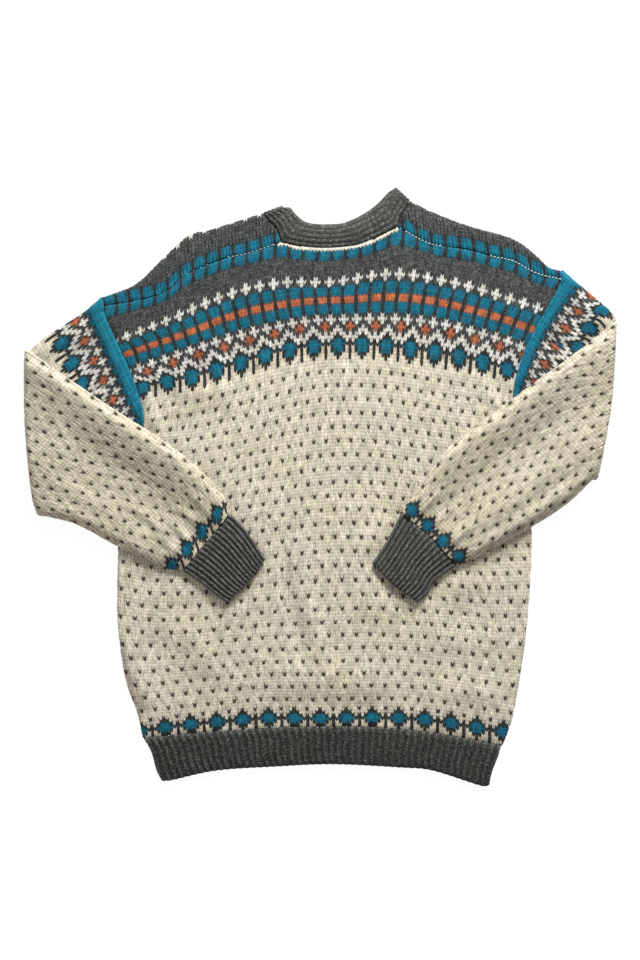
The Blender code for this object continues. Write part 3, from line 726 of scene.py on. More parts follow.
def finish_piece(name, shells, slot, rise=STITCH_RISE, plump=(0.9, 1.35)):
    """One object from its knitted shells, each with its chart: stitches raised and coloured, and its wool."""
    meshes = []
    for number, (bm, outer_faces, shell_chart) in enumerate(shells):
        bmesh.ops.recalc_face_normals(bm, faces=bm.faces)
        crest = bm.verts.layers.float["crest"]
        sink_colour_changes(bm, outer_faces, shell_chart, crest)
        made = bmesh.ops.poke(bm, faces=outer_faces, offset=0, center_mode="MEAN")
        unevenness = rng.uniform(*plump, len(made["verts"])).tolist()
        for vert, uneven in zip(made["verts"], unevenness):
            ring = [edge.other_vert(vert)[crest] for edge in vert.link_edges]
            vert[crest] = sum(ring) / len(ring) + uneven
        part = bpy.data.meshes.new(f"{name}_{number}")
        bm.to_mesh(part)
        bm.free()
        raise_stitches(part, rise)
        colour_stitches(part, shell_chart)
        meshes.append(part)
    piece = bpy.data.objects.new(name, meshes[0])
    bpy.context.scene.collection.objects.link(piece)
    if len(meshes) > 1:
        others = [bpy.data.objects.new(m.name, m) for m in meshes[1:]]
        for other in others:
            bpy.context.scene.collection.objects.link(other)
        with bpy.context.temp_override(
            active_object=piece, selected_editable_objects=[piece, *others], selected_objects=[piece, *others]
        ):
            bpy.ops.object.join()
    piece.data.shade_smooth()
    piece.data.materials.clear()
    piece.data.materials.append(wool(slot))
    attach(piece, "root")
    return piece


# ---------------------------------------------------------------- wool


def add_node(nodes, kind, **settings):
    node = nodes.new(kind)
    for key, value in settings.items():
        setattr(node, key, value)
    return node


def wool(slot):
    """Soft matt wool: fibres, heather flecks, painted shade in the grooves between the stitches and painted
    light on their crests, and a little sheen.
    """
    material = bpy.data.materials.get(f"knitted_{slot}")
    if material:
        return material
    material = bpy.data.materials.new(f"knitted_{slot}")
    material.use_nodes = True
    tree = material.node_tree
    nodes, links = tree.nodes, tree.links
    shader = nodes["Principled BSDF"]
    shader.inputs["Roughness"].default_value = 0.9
    shader.inputs["Specular IOR Level"].default_value = 0.25
    shader.inputs["Sheen Weight"].default_value = 0.12
    shader.inputs["Sheen Roughness"].default_value = 0.5

    place = add_node(nodes, "ShaderNodeTexCoord")
    yarn = add_node(nodes, "ShaderNodeAttribute", attribute_name="yarn")
    crest = add_node(nodes, "ShaderNodeAttribute", attribute_name="crest")

    def noise(scale, detail, roughness=0.6):
        node = add_node(nodes, "ShaderNodeTexNoise")
        node.inputs["Scale"].default_value = scale
        node.inputs["Detail"].default_value = detail
        node.inputs["Roughness"].default_value = roughness
        links.new(place.outputs["Object"], node.inputs["Vector"])
        return node.outputs["Fac"]

    def ranged(value, from_low, from_high, low, high):
        node = add_node(nodes, "ShaderNodeMapRange")
        node.inputs["From Min"].default_value = from_low
        node.inputs["From Max"].default_value = from_high
        node.inputs["To Min"].default_value = low
        node.inputs["To Max"].default_value = high
        links.new(value, node.inputs["Value"])
        return node.outputs["Result"]

    def maths(operation, a, b):
        node = add_node(nodes, "ShaderNodeMath", operation=operation)
        for socket, value in zip(node.inputs, (a, b)):
            if isinstance(value, (int, float)):
                socket.default_value = value
            else:
                links.new(value, socket)
        return node.outputs["Value"]

    fibres = ranged(noise(900, 2), 0.3, 0.7, 0.84, 1.14)
    mottle = ranged(noise(45, 2), 0.3, 0.7, 0.95, 1.05)
    # Painted shade: the colour is darkened where the crest is low, in the pits and grooves between the legs
    # and where yarns meet, and lightened a little on the crests.
    painted_groove_shade = ranged(crest.outputs["Fac"], -1.2, 1.0, 0.16, 1.12)
    flecks = ranged(noise(520, 2, 0.7), 0.46, 0.70, 0, 1)
    tone = maths("MULTIPLY", maths("MULTIPLY", fibres, mottle), painted_groove_shade)
    tinted = add_node(nodes, "ShaderNodeVectorMath", operation="SCALE")
    links.new(yarn.outputs["Color"], tinted.inputs[0])
    links.new(tone, tinted.inputs["Scale"])
    fleck_amount = maths("MULTIPLY", maths("MULTIPLY", flecks, yarn.outputs["Alpha"]), 0.17)
    # The pale flecks take the same painted shade.
    fleck_amount = maths("MULTIPLY", fleck_amount, painted_groove_shade)
    pale = add_node(nodes, "ShaderNodeVectorMath", operation="SCALE")
    pale.inputs[0].default_value = (1.0, 0.99, 0.95)
    links.new(fleck_amount, pale.inputs["Scale"])
    warm = add_node(nodes, "ShaderNodeMix", data_type="RGBA")
    warm.inputs["A"].default_value = (0.99, 0.995, 1.02, 1)
    warm.inputs["B"].default_value = (1.01, 1.0, 0.95, 1)
    links.new(ranged(noise(16, 3), 0.35, 0.65, 0, 1), warm.inputs["Factor"])
    blotched = add_node(nodes, "ShaderNodeVectorMath", operation="MULTIPLY")
    links.new(tinted.outputs["Vector"], blotched.inputs[0])
    links.new(warm.outputs["Result"], blotched.inputs[1])
    together = add_node(nodes, "ShaderNodeVectorMath", operation="ADD")
    links.new(blotched.outputs["Vector"], together.inputs[0])
    links.new(pale.outputs["Vector"], together.inputs[1])
    links.new(together.outputs["Vector"], shader.inputs["Base Color"])

    fuzz = add_node(nodes, "ShaderNodeBump")
    fuzz.inputs["Strength"].default_value = 0.5
    fuzz.inputs["Distance"].default_value = 0.25 * MM
    links.new(noise(2600, 3), fuzz.inputs["Height"])
    links.new(fuzz.outputs["Normal"], shader.inputs["Normal"])
    links.new(ranged(noise(900, 1), 0.3, 0.7, 0.82, 0.98), shader.inputs["Roughness"])
    return material


# ---------------------------------------------------------------- the body


def heights_at(rows, across):
    """How far up a course is at each place across."""
    course = line(rows).points
    return np.interp(across, course[:, 0], course[:, 1])


def body_lattice(courses, wales):
    """The flat places of the stitches of a panel, from its courses and its wales."""
    keys, wale_keys = sorted(courses), sorted(wales)
    places = (np.array([wales[k] for k in wale_keys]) - CENTRE[0]) * MM

    def flat(wale, course):
        at_wales = np.array([cubic(wale_keys, places[:, i], course) for i in range(len(TABLE_WALES))])
        across = cubic(TABLE_WALES, at_wales, wale)
        up = cubic(keys, np.array([courses[k](across) for k in keys]), course)
        return np.stack([across, up], axis=1)

    return flat


def as_course(rows):
    return lambda across: heights_at(rows, across)


def body_chart(wale, course):
    """The yarn of each stitch of a panel: the yoke, the lice and the trees over the hem."""
    column = wale % 8
    yarn = np.full(len(wale), YARN_ORDER.index("c"))
    yoke = letters(*YOKE)
    row = course - YOKE_START
    in_yoke = (row >= 0) & (row < len(yoke))
    yarn[in_yoke] = yoke[row[in_yoke], column[in_yoke]]
    over = row < 0  # the course next to the neckband and the shoulder seams
    yarn[over] = yoke[0, column[over]]
    # Painted shade of the neckband: the white course next to it is drawn in cream.
    yarn[over & (wale >= NECK_WALES[0]) & (wale < NECK_WALES[1])] = YARN_ORDER.index("c")
    lice = (course >= FIRST_LICE) & (course <= LAST_LICE) & ((course - FIRST_LICE) % LICE_STEP == 0)
    offset = np.where((course - FIRST_LICE) // LICE_STEP % 2 == 0, 2, 0)
    yarn[lice & (column % 4 == offset)] = YARN_ORDER.index("l")
    trees = letters(*HEM_TREES)
    row = np.minimum(course - HEM_TREES_START, len(trees) - 1)
    yarn[row >= 0] = trees[row[row >= 0], column[row >= 0]]
    return yarn


def front_chart(wale, course):
    """As on the back, with more lice, because the front reaches over the shoulders."""
    course = np.maximum(course, YOKE_START)
    again = REPEATED_LICE + (course - REPEATED_LICE) % (2 * LICE_STEP)
    on_back = np.maximum(course - FRONT_EXTRA, again)
    return body_chart(wale, np.where(course > FRONT_EXTRA_AFTER, on_back, course))


def pressed(points, sides=SIDES):
    """0 under a folded sleeve or its cuff, and 1 well away from them."""
    free = np.ones(len(points))
    for side in sides:
        ring = sleeve_ring(side)
        distance, _, _ = nearest(points, ring, closed=True)
        distance[inside(points, ring)] = 0
        free = np.minimum(free, smooth_step(0, SHADE_REACH, distance))
    return free


def sleeve_ring(side):
    """The outline of a folded forearm with its cuff."""
    runs = [
        line(SLEEVE_FOLD[side]).points,
        line(FOREARM_TOP[side]).points,
        line(CUFF_TOP[side]).points,
        line(CUFF_END[side]).points[::-1],
        line(CUFF_UNDER[side]).points[::-1],
        line(FOREARM_UNDER[side]).points[::-1],
    ]
    return np.vstack(runs)[::3]


def seam_dip(points, routes):
    """How far the fabric dips along the seams."""
    dip = np.zeros(len(points))
    for route in routes:
        distance, _, _ = nearest(points, route)
        dip = np.maximum(dip, 1 - smooth_step(0, SEAM_REACH, distance))
    return dip * SEAM_DIP


def body_relief(points, edge):
    """The soft rise and creases of the upper side of the body."""
    crown = BODY_CROWN * (1 - np.exp(-edge / BODY_CROWN_REACH))
    at_edge = smooth_step(0, 10 * MM, edge)
    at_hem = smooth_step(-2 * MM, 16 * MM, points[:, 1] - heights_at(HEM_UPPER, points[:, 0]))
    folds = shallow(creases(points, BODY_CREASES) * at_edge * at_hem, DEEPEST["body"])
    return (crown + folds) * pressed(points)


def both(rows):
    """The points of a line on the left and on the right."""
    return {side: line(rows[side]).points for side in SIDES}


def make_back():
    seams, armholes, sides = both(SHOULDER_SEAM), both(ARMHOLE), both(SIDE)
    neck = line(BACK_NECK).points
    hem = line(HEM_UPPER).points - [0, SEAM]
    low = {side: armholes[side][armholes[side][:, 1] < seams[side][-1, 1]] for side in armholes}
    ring = [hem, sides["right"], low["right"], seams["right"][::-1], neck[::-1]]
    ring = np.vstack([*ring, seams["left"], low["left"][::-1], sides["left"][::-1]])
    round_edges = [sides["right"], sides["left"][::-1]]
    butts = [hem, low["left"], low["right"], seams["left"], seams["right"], neck]

    def place(flat, outer, edge):
        if not outer:
            return np.column_stack([flat, np.full(len(flat), HALF + INNER)])
        level = rounded(edge) - STITCH_RISE * smooth_step(0, HALF, edge)
        level = np.maximum(level, LEAST_LEVEL)
        relief = body_relief(flat, edge) - seam_dip(flat, butts)
        tuck = np.zeros(len(flat))
        for side in SIDES:
            distance, _, _ = nearest(flat, low[side])
            tuck = np.maximum(tuck, 1 - smooth_step(*TUCK_REACH, distance))
        height = HALF + level + relief * smooth_step(0, HALF, edge) - TUCK * tuck
        return np.column_stack([flat, height])

    lattice = body_lattice({k: as_course(rows) for k, rows in BACK_COURSES.items()}, BACK_WALES)
    skin = Skin(lattice, (-69, 69), (-14, 134), ring, round_edges, place, body_chart, YOKE_BLOCKS)
    bm, outer = knit(skin)
    piece = finish_piece("back_panel", [(bm, outer, body_chart)], "cream_wool")
    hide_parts("back")
    return piece


def shoulder_heights(rows, across):
    """How far up a line over both shoulders is at each place across, bridged over the neck."""
    shoulders = both(rows)
    points = np.vstack([shoulders["left"][::-1], shoulders["right"]])
    return np.interp(across, points[:, 0], points[:, 1])


def fold_heights(across):
    return shoulder_heights(SHOULDER_FOLD, across)


def seam_line(across):
    """Where the front's shoulder seams are as it would lie unfolded."""
    return 2 * (fold_heights(across) - HALF) + math.pi * HALF - shoulder_heights(SHOULDER_SEAM, across)


def unwrap(points):
    """Points of the front's upper side, over the shoulders, as they would lie unfolded."""
    base = fold_heights(points[:, 0]) - HALF
    return np.column_stack([points[:, 0], 2 * base + math.pi * HALF - points[:, 1]])


def make_front():
    armholes, sides, seam_points = both(ARMHOLE), both(SIDE), both(SHOULDER_SEAM)
    hem = line(HEM_UPPER).points - [0, SEAM]

    def under_fold(points):
        return points[points[:, 1] < fold_heights(points[:, 0]) - HALF]

    wraps = {side: unwrap(under_fold(points)) for side, points in both(NECK_WRAP).items()}
    seams = {side: unwrap(points + [0, SEAM]) for side, points in seam_points.items()}
    ends = {side: unwrap(points[-1:] + [0, SEAM]) for side, points in seam_points.items()}
    rising = {side: under_fold(points) for side, points in armholes.items()}
    low_neck = under_fold(line(FRONT_NECK).points)
    ring = [hem, sides["right"], rising["right"], ends["right"], seams["right"][::-1], wraps["right"][::-1]]
    ring += [low_neck[::-1], wraps["left"], seams["left"], ends["left"], rising["left"][::-1]]
    ring = np.vstack([*ring, sides["left"][::-1]])
    round_edges = [sides["right"], sides["left"][::-1]]
    butts = [seams["left"], seams["right"], wraps["left"], wraps["right"]]

    def place(flat, outer, edge):
        base = fold_heights(flat[:, 0]) - HALF
        turn = np.clip((flat[:, 1] - base) / HALF, 0, math.pi)
        over = np.clip(flat[:, 1] - base - math.pi * HALF, 0, None)
        wrapped = turn >= math.pi
        if outer:
            rise = STITCH_RISE * smooth_step(0, HALF, edge)
            radius = np.maximum(rounded(edge) - rise, LEAST_LEVEL)
        else:
            radius = np.full(len(flat), INNER)
        up = np.where(turn > 0, base + radius * np.sin(turn), flat[:, 1]) - over
        height = HALF - radius * np.cos(turn)
        spots = np.column_stack([flat[:, 0], up])
        if outer:
            lift = -seam_dip(flat, butts)
            height = height + np.where(wrapped, lift, 0)
        return np.column_stack([spots, height])

    courses = {SHOULDER_SEAM_COURSE: seam_line}
    rows = FRONT_SHOULDER_COURSES
    courses[SHOULDER_SEAM_COURSE + rows] = lambda across: seam_line(across) - rows * COURSE_DEPTH
    courses.update({k: as_course(rows) for k, rows in FRONT_COURSES.items()})
    lattice = body_lattice(courses, FRONT_WALES)
    skin = Skin(lattice, (-72, 72), (-12, 148), ring, round_edges, place, front_chart, YOKE_BLOCKS)
    bm, outer = knit(skin)
    piece = finish_piece("front_panel", [(bm, outer, front_chart)], "cream_wool")
    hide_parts("front")
    return piece


# ---------------------------------------------------------------- the sleeves


class Fold:
    """How a sleeve folds over: out is the way across its fold, away from the body."""

    def __init__(self, side):
        knots = metres(SLEEVE_FOLD[side])
        self.along = unit(knots[-1] - knots[0])
        self.out = np.array([-self.along[1], self.along[0]]) * (1 if side == "left" else -1)
        self.base = knots[0] - (BEND + HALF) * self.out
        curve = Line(knots).points - knots[0]
        self.heights, self.bulges = curve @ self.along, curve @ self.out

    def measure(self, points):
        """Each point's distance past the fold's base, and its place along the fold."""
        away = points - self.base
        return away @ self.out, away @ self.along

    def unfold(self, points, arc):
        """Points of the folded forearm as they would lie unfolded."""
        past, _ = self.measure(points)
        return points + np.outer(arc - 2 * past, self.out)

    def place(self, flat, radius, arc):
        """Flat points folded over round a bend of that radius: in plan, their height and their turn."""
        past, along = self.measure(flat)
        turn = np.clip(past / arc, 0, 1) * math.pi
        distance = np.where(past < 0, past, np.where(past > arc, arc - past, radius * np.sin(turn)))
        bulge = np.interp(along, self.heights, self.bulges) * np.exp(-((distance / BULGE_REACH) ** 2))
        plan = self.base + np.outer(along, self.along) + np.outer(distance + bulge, self.out)
        return plan, HALF + BEND - radius * np.cos(turn), turn


def sleeve_chart(total, ground):
    """The chart of a sleeve's face, from its head to its cuff, with the yarn of its ground."""

    def chart(wale, course):
        column = wale % 8
        yarn = np.full(len(wale), YARN_ORDER.index("c"))
        head = letters(*SLEEVE_HEAD)
        in_head = course < len(head)
        yarn[in_head] = head[np.maximum(course[in_head], 0), column[in_head]]
        last_lice = total - CUFF_TREES - PLAIN_OVER_TREES
        steps = last_lice - course
        lice = (steps >= 0) & (steps % LICE_STEP == 0) & (course >= len(head) + PLAIN_OVER_TREES)
        offset = np.where(steps // LICE_STEP % 2 == 0, 2, 0)
        yarn[lice & (column % 4 == offset)] = YARN_ORDER.index("l")
        trees = letters(*TREES)
        row = course - (total - CUFF_TREES)
        in_trees = (row >= 0) & (row < len(trees))
        yarn[in_trees] = trees[row[in_trees], column[in_trees]]
        yarn[yarn == YARN_ORDER.index("c")] = YARN_ORDER.index(ground)
        return yarn

    return chart


def sleeve_skin(side, face):
    fold, lattice = Fold(side), SLEEVE_LATTICE[side, face]
    towards = 1 if side == "left" else -1  # the way to the body, across
    far = 1 if face == "top" else -1  # this face's side of the bend
    arc = math.pi * (BEND + far * 2 * MM)

    def shifted(rows, keep):
        """A line of the upper arm or the forearm that ends, or starts, at the fold's base."""
        knots = metres(rows)
        knots[keep] = knots[keep] - (BEND + HALF) * fold.out
        return Line(knots).points

    arm_top, arm_under = shifted(UPPER_ARM_TOP[side], -1), shifted(UPPER_ARM_UNDER[side], -1)
    fore_top = fold.unfold(shifted(FOREARM_TOP[side], 0), arc)
    fore_under = fold.unfold(shifted(FOREARM_UNDER[side], 0), arc)
    cuff = fold.unfold(line(CUFF_START[side]).points, arc)
    top, under = np.vstack([arm_top, fore_top]), np.vstack([arm_under, fore_under])
    armhole = line(ARMHOLE[side]).points.copy()
    armhole[:, 0] += -towards * SEAM / 2
    if face == "back":
        armhole[:, 0] += towards * BAND_OVERLAP * smooth_step(0, 0.2, np.linspace(0, 1, len(armhole)))
    ring = [armhole, top, cuff[::-1], under[::-1]]
    ring = np.vstack(ring if side == "left" else [part[::-1] for part in ring[::-1]])
    edges = [top, under[::-1]] if side == "left" else [top[::-1], under]

    top_edge = Line.through(top)
    row_keys, row_places = zip(*((course, top_edge.length + place * MM) for course, place in lattice["rows"]))

    def flat(wale, course):
        spot = cubic(row_keys, row_places, course)
        start = top_edge.at(spot / top_edge.length)
        end_step = unit(top[-1] - top[-6])
        beyond = np.clip(spot - top_edge.length, 0, None)
        before = np.clip(spot, None, 0)
        start = start + beyond[:, None] * end_step + before[:, None] * unit(top[4] - top[0])
        away = (wale - cubic(*zip(*lattice["first"]), course)) * cubic(*zip(*lattice["wale"]), course) * MM
        lean = np.radians(cubic(*zip(*lattice["lean"]), course) - lattice["bend"] * away / (200 * MM))
        ways = np.stack([towards * np.sin(lean), -np.cos(lean)], axis=1)
        return start + away[:, None] * ways

    def place(points, outer, edge):
        if outer:
            level = np.maximum(rounded(edge) - STITCH_RISE * smooth_step(0, HALF, edge), LEAST_LEVEL)
        else:
            level = np.full(len(points), INNER)
        plan, height, turn = fold.place(points, BEND + far * level, arc)
        if outer and face == "top":
            shows = (1 - np.cos(turn)) / 2
            crown = FOREARM_CROWN * (1 - np.exp(-(edge / FOREARM_CROWN_REACH) ** 2))
            relief = forearm_swell(plan, side) + creases(plan, FOREARM_CREASES[side])
            relief = shallow(relief, DEEPEST["forearm"])
            height = height + shows * (crown + relief * smooth_step(0, SLEEVE_EDGE, edge))
        if face == "back":
            distance, _, _ = nearest(points, line(ARMHOLE[side]).points)
            upper = turn <= 0
            free = pressed(points, (side,))
            if outer:
                ridge = BAND_RISE * np.sin(np.clip(distance / BAND_WIDTH, 0, 1) * math.pi) ** 0.7
                relief = creases(points, UPPER_ARM_CREASES[side]) * smooth_step(0, SLEEVE_EDGE, edge)
                height = height + np.where(upper, (ridge * smooth_step(0, 6 * MM, edge) + relief) * free, 0)
            else:
                over = 1 - smooth_step(0, 3 * MM, distance)
                height = height + np.where(upper, over * 1.2 * MM * free, 0)
        return np.column_stack([plan, height])

    total = lattice["courses"]
    first_wale = math.floor(min(column for _, column in lattice["first"])) - 4
    wales = first_wale, first_wale + SLEEVE_WALES
    # The forearm's face is drawn in the darkened cream, as painted shade.
    chart = sleeve_chart(total, "e" if face == "top" else "c")
    return Skin(flat, wales, (-2, total + 2), ring, edges, place, chart, SLEEVE_BLOCKS)


def forearm_swell(plan, side):
    """The broad swell of a folded forearm over its cross-section."""
    lines = SLEEVE_FOLD, CUFF_START, FOREARM_TOP, FOREARM_UNDER
    fold, cuff, top, under = (nearest(plan, line(rows[side]).points[::2])[0] for rows in lines)
    across, along = top / (top + under), fold / (fold + cuff)
    keys, rows = zip(*sorted(FOREARM_SWELL[side].items()))
    return cubic(keys, np.array([cubic(SWELL_SHARES, row, across) for row in rows]), along) * MM


def make_sleeve(side):
    shells = []
    for face in ("back", "top"):
        skin = sleeve_skin(side, face)
        bm, outer = knit(skin)
        shells.append((bm, outer, skin.chart))
    piece = finish_piece(f"sleeve_{side}_knit", shells, "cream_wool")
    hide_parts(f"sleeve_{side}")
    return piece


# ---------------------------------------------------------------- ribs and bands


def all_of(letter):
    """A chart of one yarn."""
    return lambda wale, course: np.full(len(wale), YARN_ORDER.index(letter))


def tube_shell(columns, rows, place, depths):
    """A closed wall from a grid: its columns run round a flat tube and meet, its rows along it.

    place(column, row, outer) gives points in space, and depths(column, row) how high they are in the rib.
    """
    bm = bmesh.new()
    bmesh.ops.create_grid(bm, x_segments=columns, y_segments=rows, size=1)
    grid = np.array([v.co[:2] for v in bm.verts])
    column = np.rint((grid[:, 0] + 1) / 2 * columns).astype(int)
    row = np.rint((1 - grid[:, 1]) / 2 * rows).astype(int)
    wale_layer, course_layer = bm.faces.layers.int.new("wale"), bm.faces.layers.int.new("course")
    for face in bm.faces:
        middle = face.calc_center_median()
        face[wale_layer] = int((middle.x + 1) / 2 * columns / 2)
        face[course_layer] = int((1 - middle.y) / 2 * rows)
    crest = bm.verts.layers.float.new("crest")
    for vert, c, r in zip(bm.verts, column.tolist(), row.tolist()):
        vert.co = (c % columns, r, 0)
        vert[crest] = depths(c % columns, r)
    bmesh.ops.remove_doubles(bm, verts=bm.verts[:], dist=0.1)
    made = bmesh.ops.extrude_face_region(bm, geom=bm.faces[:], use_keep_orig=True)
    outer_verts = [g for g in made["geom"] if isinstance(g, bmesh.types.BMVert)]
    outer_faces = [g for g in made["geom"] if isinstance(g, bmesh.types.BMFace)]
    is_outer = set(outer_verts)
    inner_verts = [v for v in bm.verts if v not in is_outer]
    for verts, outer in ((outer_verts, True), (inner_verts, False)):
        keys = np.rint(np.array([v.co[:2] for v in verts])).astype(int)
        for vert, spot in zip(verts, place(keys[:, 0], keys[:, 1], outer).tolist()):
            vert.co = spot
    return bm, outer_faces


def ribbed_tube(start, end, under, top, ribs, rise, rib_depths, courses, lift, flipped):
    """The outer and inner places of a ribbed flat tube, by column and row.

    start and end are lines across the tube, under and top its two edges; lift(plan) is the soft rise of
    its upper layer, rise the height of its ribs and rib_depths that of their stitches; flipped puts the
    tube on the folded sleeve.
    """
    side_columns = 3
    per_layer = COLUMNS_PER_RIB * ribs
    columns = 2 * (per_layer + side_columns)

    def place(column, row, outer):
        share = row / courses
        upper = column < per_layer + 1
        lower = (column >= per_layer + side_columns) & (column <= 2 * per_layer + side_columns)
        across = np.where(upper, column / per_layer, 1 - (column - per_layer - side_columns) / per_layer)
        across = np.clip(across, 0, 1)
        last = column > 2 * per_layer + side_columns
        across[last] = 0
        turn = np.zeros(len(column))
        turn[upper] = math.pi / 2
        turn[lower] = -math.pi / 2
        at_top = ~upper & ~lower & ~last
        turn[at_top] = math.pi / 2 - (column[at_top] - per_layer) * math.pi / side_columns
        turn[last] = -math.pi / 2 + (column[last] - 2 * per_layer - side_columns) * math.pi / side_columns
        edge_under, edge_top = under.at(share), top.at(share)
        width = np.linalg.norm(edge_top - edge_under, axis=1)
        inset = HALF / width
        spread = inset + across * (1 - 2 * inset)
        corner = start.at(spread), end.at(spread)
        plan = (1 - share)[:, None] * corner[0] + share[:, None] * corner[1]
        straight = [
            (1 - spread)[:, None] * across_line.points[0] + spread[:, None] * across_line.points[-1]
            for across_line in (start, end)
        ]
        ruled = (1 - share)[:, None] * straight[0] + share[:, None] * straight[1]
        plan = plan + (1 - spread)[:, None] * edge_under + spread[:, None] * edge_top - ruled
        way = (edge_top - edge_under) / width[:, None]
        sign = np.where(at_top, 1, np.where(last, -1, 0))
        place_in_rib = np.where(upper | lower, column, 2) % COLUMNS_PER_RIB
        rib = np.array([1.0, 0.6, 0.0, 0.6])[place_in_rib] * rise
        rib = np.where(upper, rib, 0.3 * rib)
        level = np.full(len(column), INNER)
        if outer:
            closing = smooth_step(-0.02, 0.06, share) * smooth_step(-0.02, 0.06, 1 - share)
            level = RIB_LEVEL + rib * closing * 0.9
            level = np.where(lower, np.minimum(level, HALF - STITCH_RISE), level)
        height = level * np.sin(turn)
        plan = plan + (sign * level * np.cos(turn))[:, None] * way
        zig = np.array([0.5, -0.5, 0.1, -0.5])[place_in_rib] * ZIGZAG * 0.8
        if outer:
            step = (end.at(spread) - start.at(spread)) / courses
            inner_rows = (row > 0) & (row < courses)
            plan = plan + (zig * inner_rows)[:, None] * step
        soft = lift(plan, share) * np.where(upper, 1, np.clip(np.sin(turn), 0, 1))
        base = HALF + 2 * BEND if flipped else HALF
        return np.column_stack([plan, base + height + (soft if outer else 0)])

    def depths(column, row):
        return rib_depths[column % COLUMNS_PER_RIB]

    return columns, place, depths


def hem_chart(wale, course):
    """Dark charcoal, with the lighter one in its first courses next to the body: painted light on the lit
    roll at the top of the rib.
    """
    return np.where(course < 2, YARN_ORDER.index("k"), YARN_ORDER.index("h"))


def make_hem():
    left, right = (Line.through(points[::-1]) for points in both(HEM_SIDE).values())

    def lift(plan, share):
        return 0.6 * MM * np.sin(share * math.pi)

    columns, place, depths = ribbed_tube(
        line(HEM_UPPER), line(HEM_LOWER), left, right,
        HEM_RIBS, HEM_RIB_RISE, HEM_RIB_DEPTHS, HEM_RIB_COURSES, lift, False,
    )
    bm, outer = tube_shell(columns, HEM_RIB_COURSES, place, depths)
    piece = finish_piece("hem_ribbing", [(bm, outer, hem_chart)], "charcoal_wool", HEM_STITCH_RISE, RIB_PLUMP)
    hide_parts("hem_rib")
    return piece


def make_cuff(side):
    start, end = line(CUFF_START[side]), line(CUFF_END[side])

    def lift(plan, share):
        away, _, _ = nearest(plan, line(CUFF_TOP[side]).points)
        other, _, _ = nearest(plan, line(CUFF_UNDER[side]).points)
        edge = np.minimum(away, other)
        return 2.4 * MM * (1 - np.exp(-(edge / (14 * MM)) ** 2)) * (1 - 0.35 * share)

    columns, place, depths = ribbed_tube(
        start, end, line(CUFF_UNDER[side]), line(CUFF_TOP[side]),
        CUFF_RIBS[side], CUFF_RIB_RISE, CUFF_RIB_DEPTHS, CUFF_RIB_COURSES, lift, True,
    )
    bm, outer = tube_shell(columns, CUFF_RIB_COURSES, place, depths)
    shells = [(bm, outer, all_of("k"))]
    piece = finish_piece(f"cuff_{side}_ribbing", shells, "charcoal_wool", RIB_STITCH_RISE, RIB_PLUMP)
    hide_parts(f"cuff_{side}")
    return piece


def band_path():
    """The neckband's seam and rim over the back, and its seam and rim over the front."""
    wraps = both(NECK_WRAP)
    back_seam = np.vstack([wraps["left"][:-1], line(BACK_NECK).points, wraps["right"][-2::-1]])
    return Line.through(back_seam), line(BACK_RIM), line(FRONT_NECK), line(FRONT_RIM)


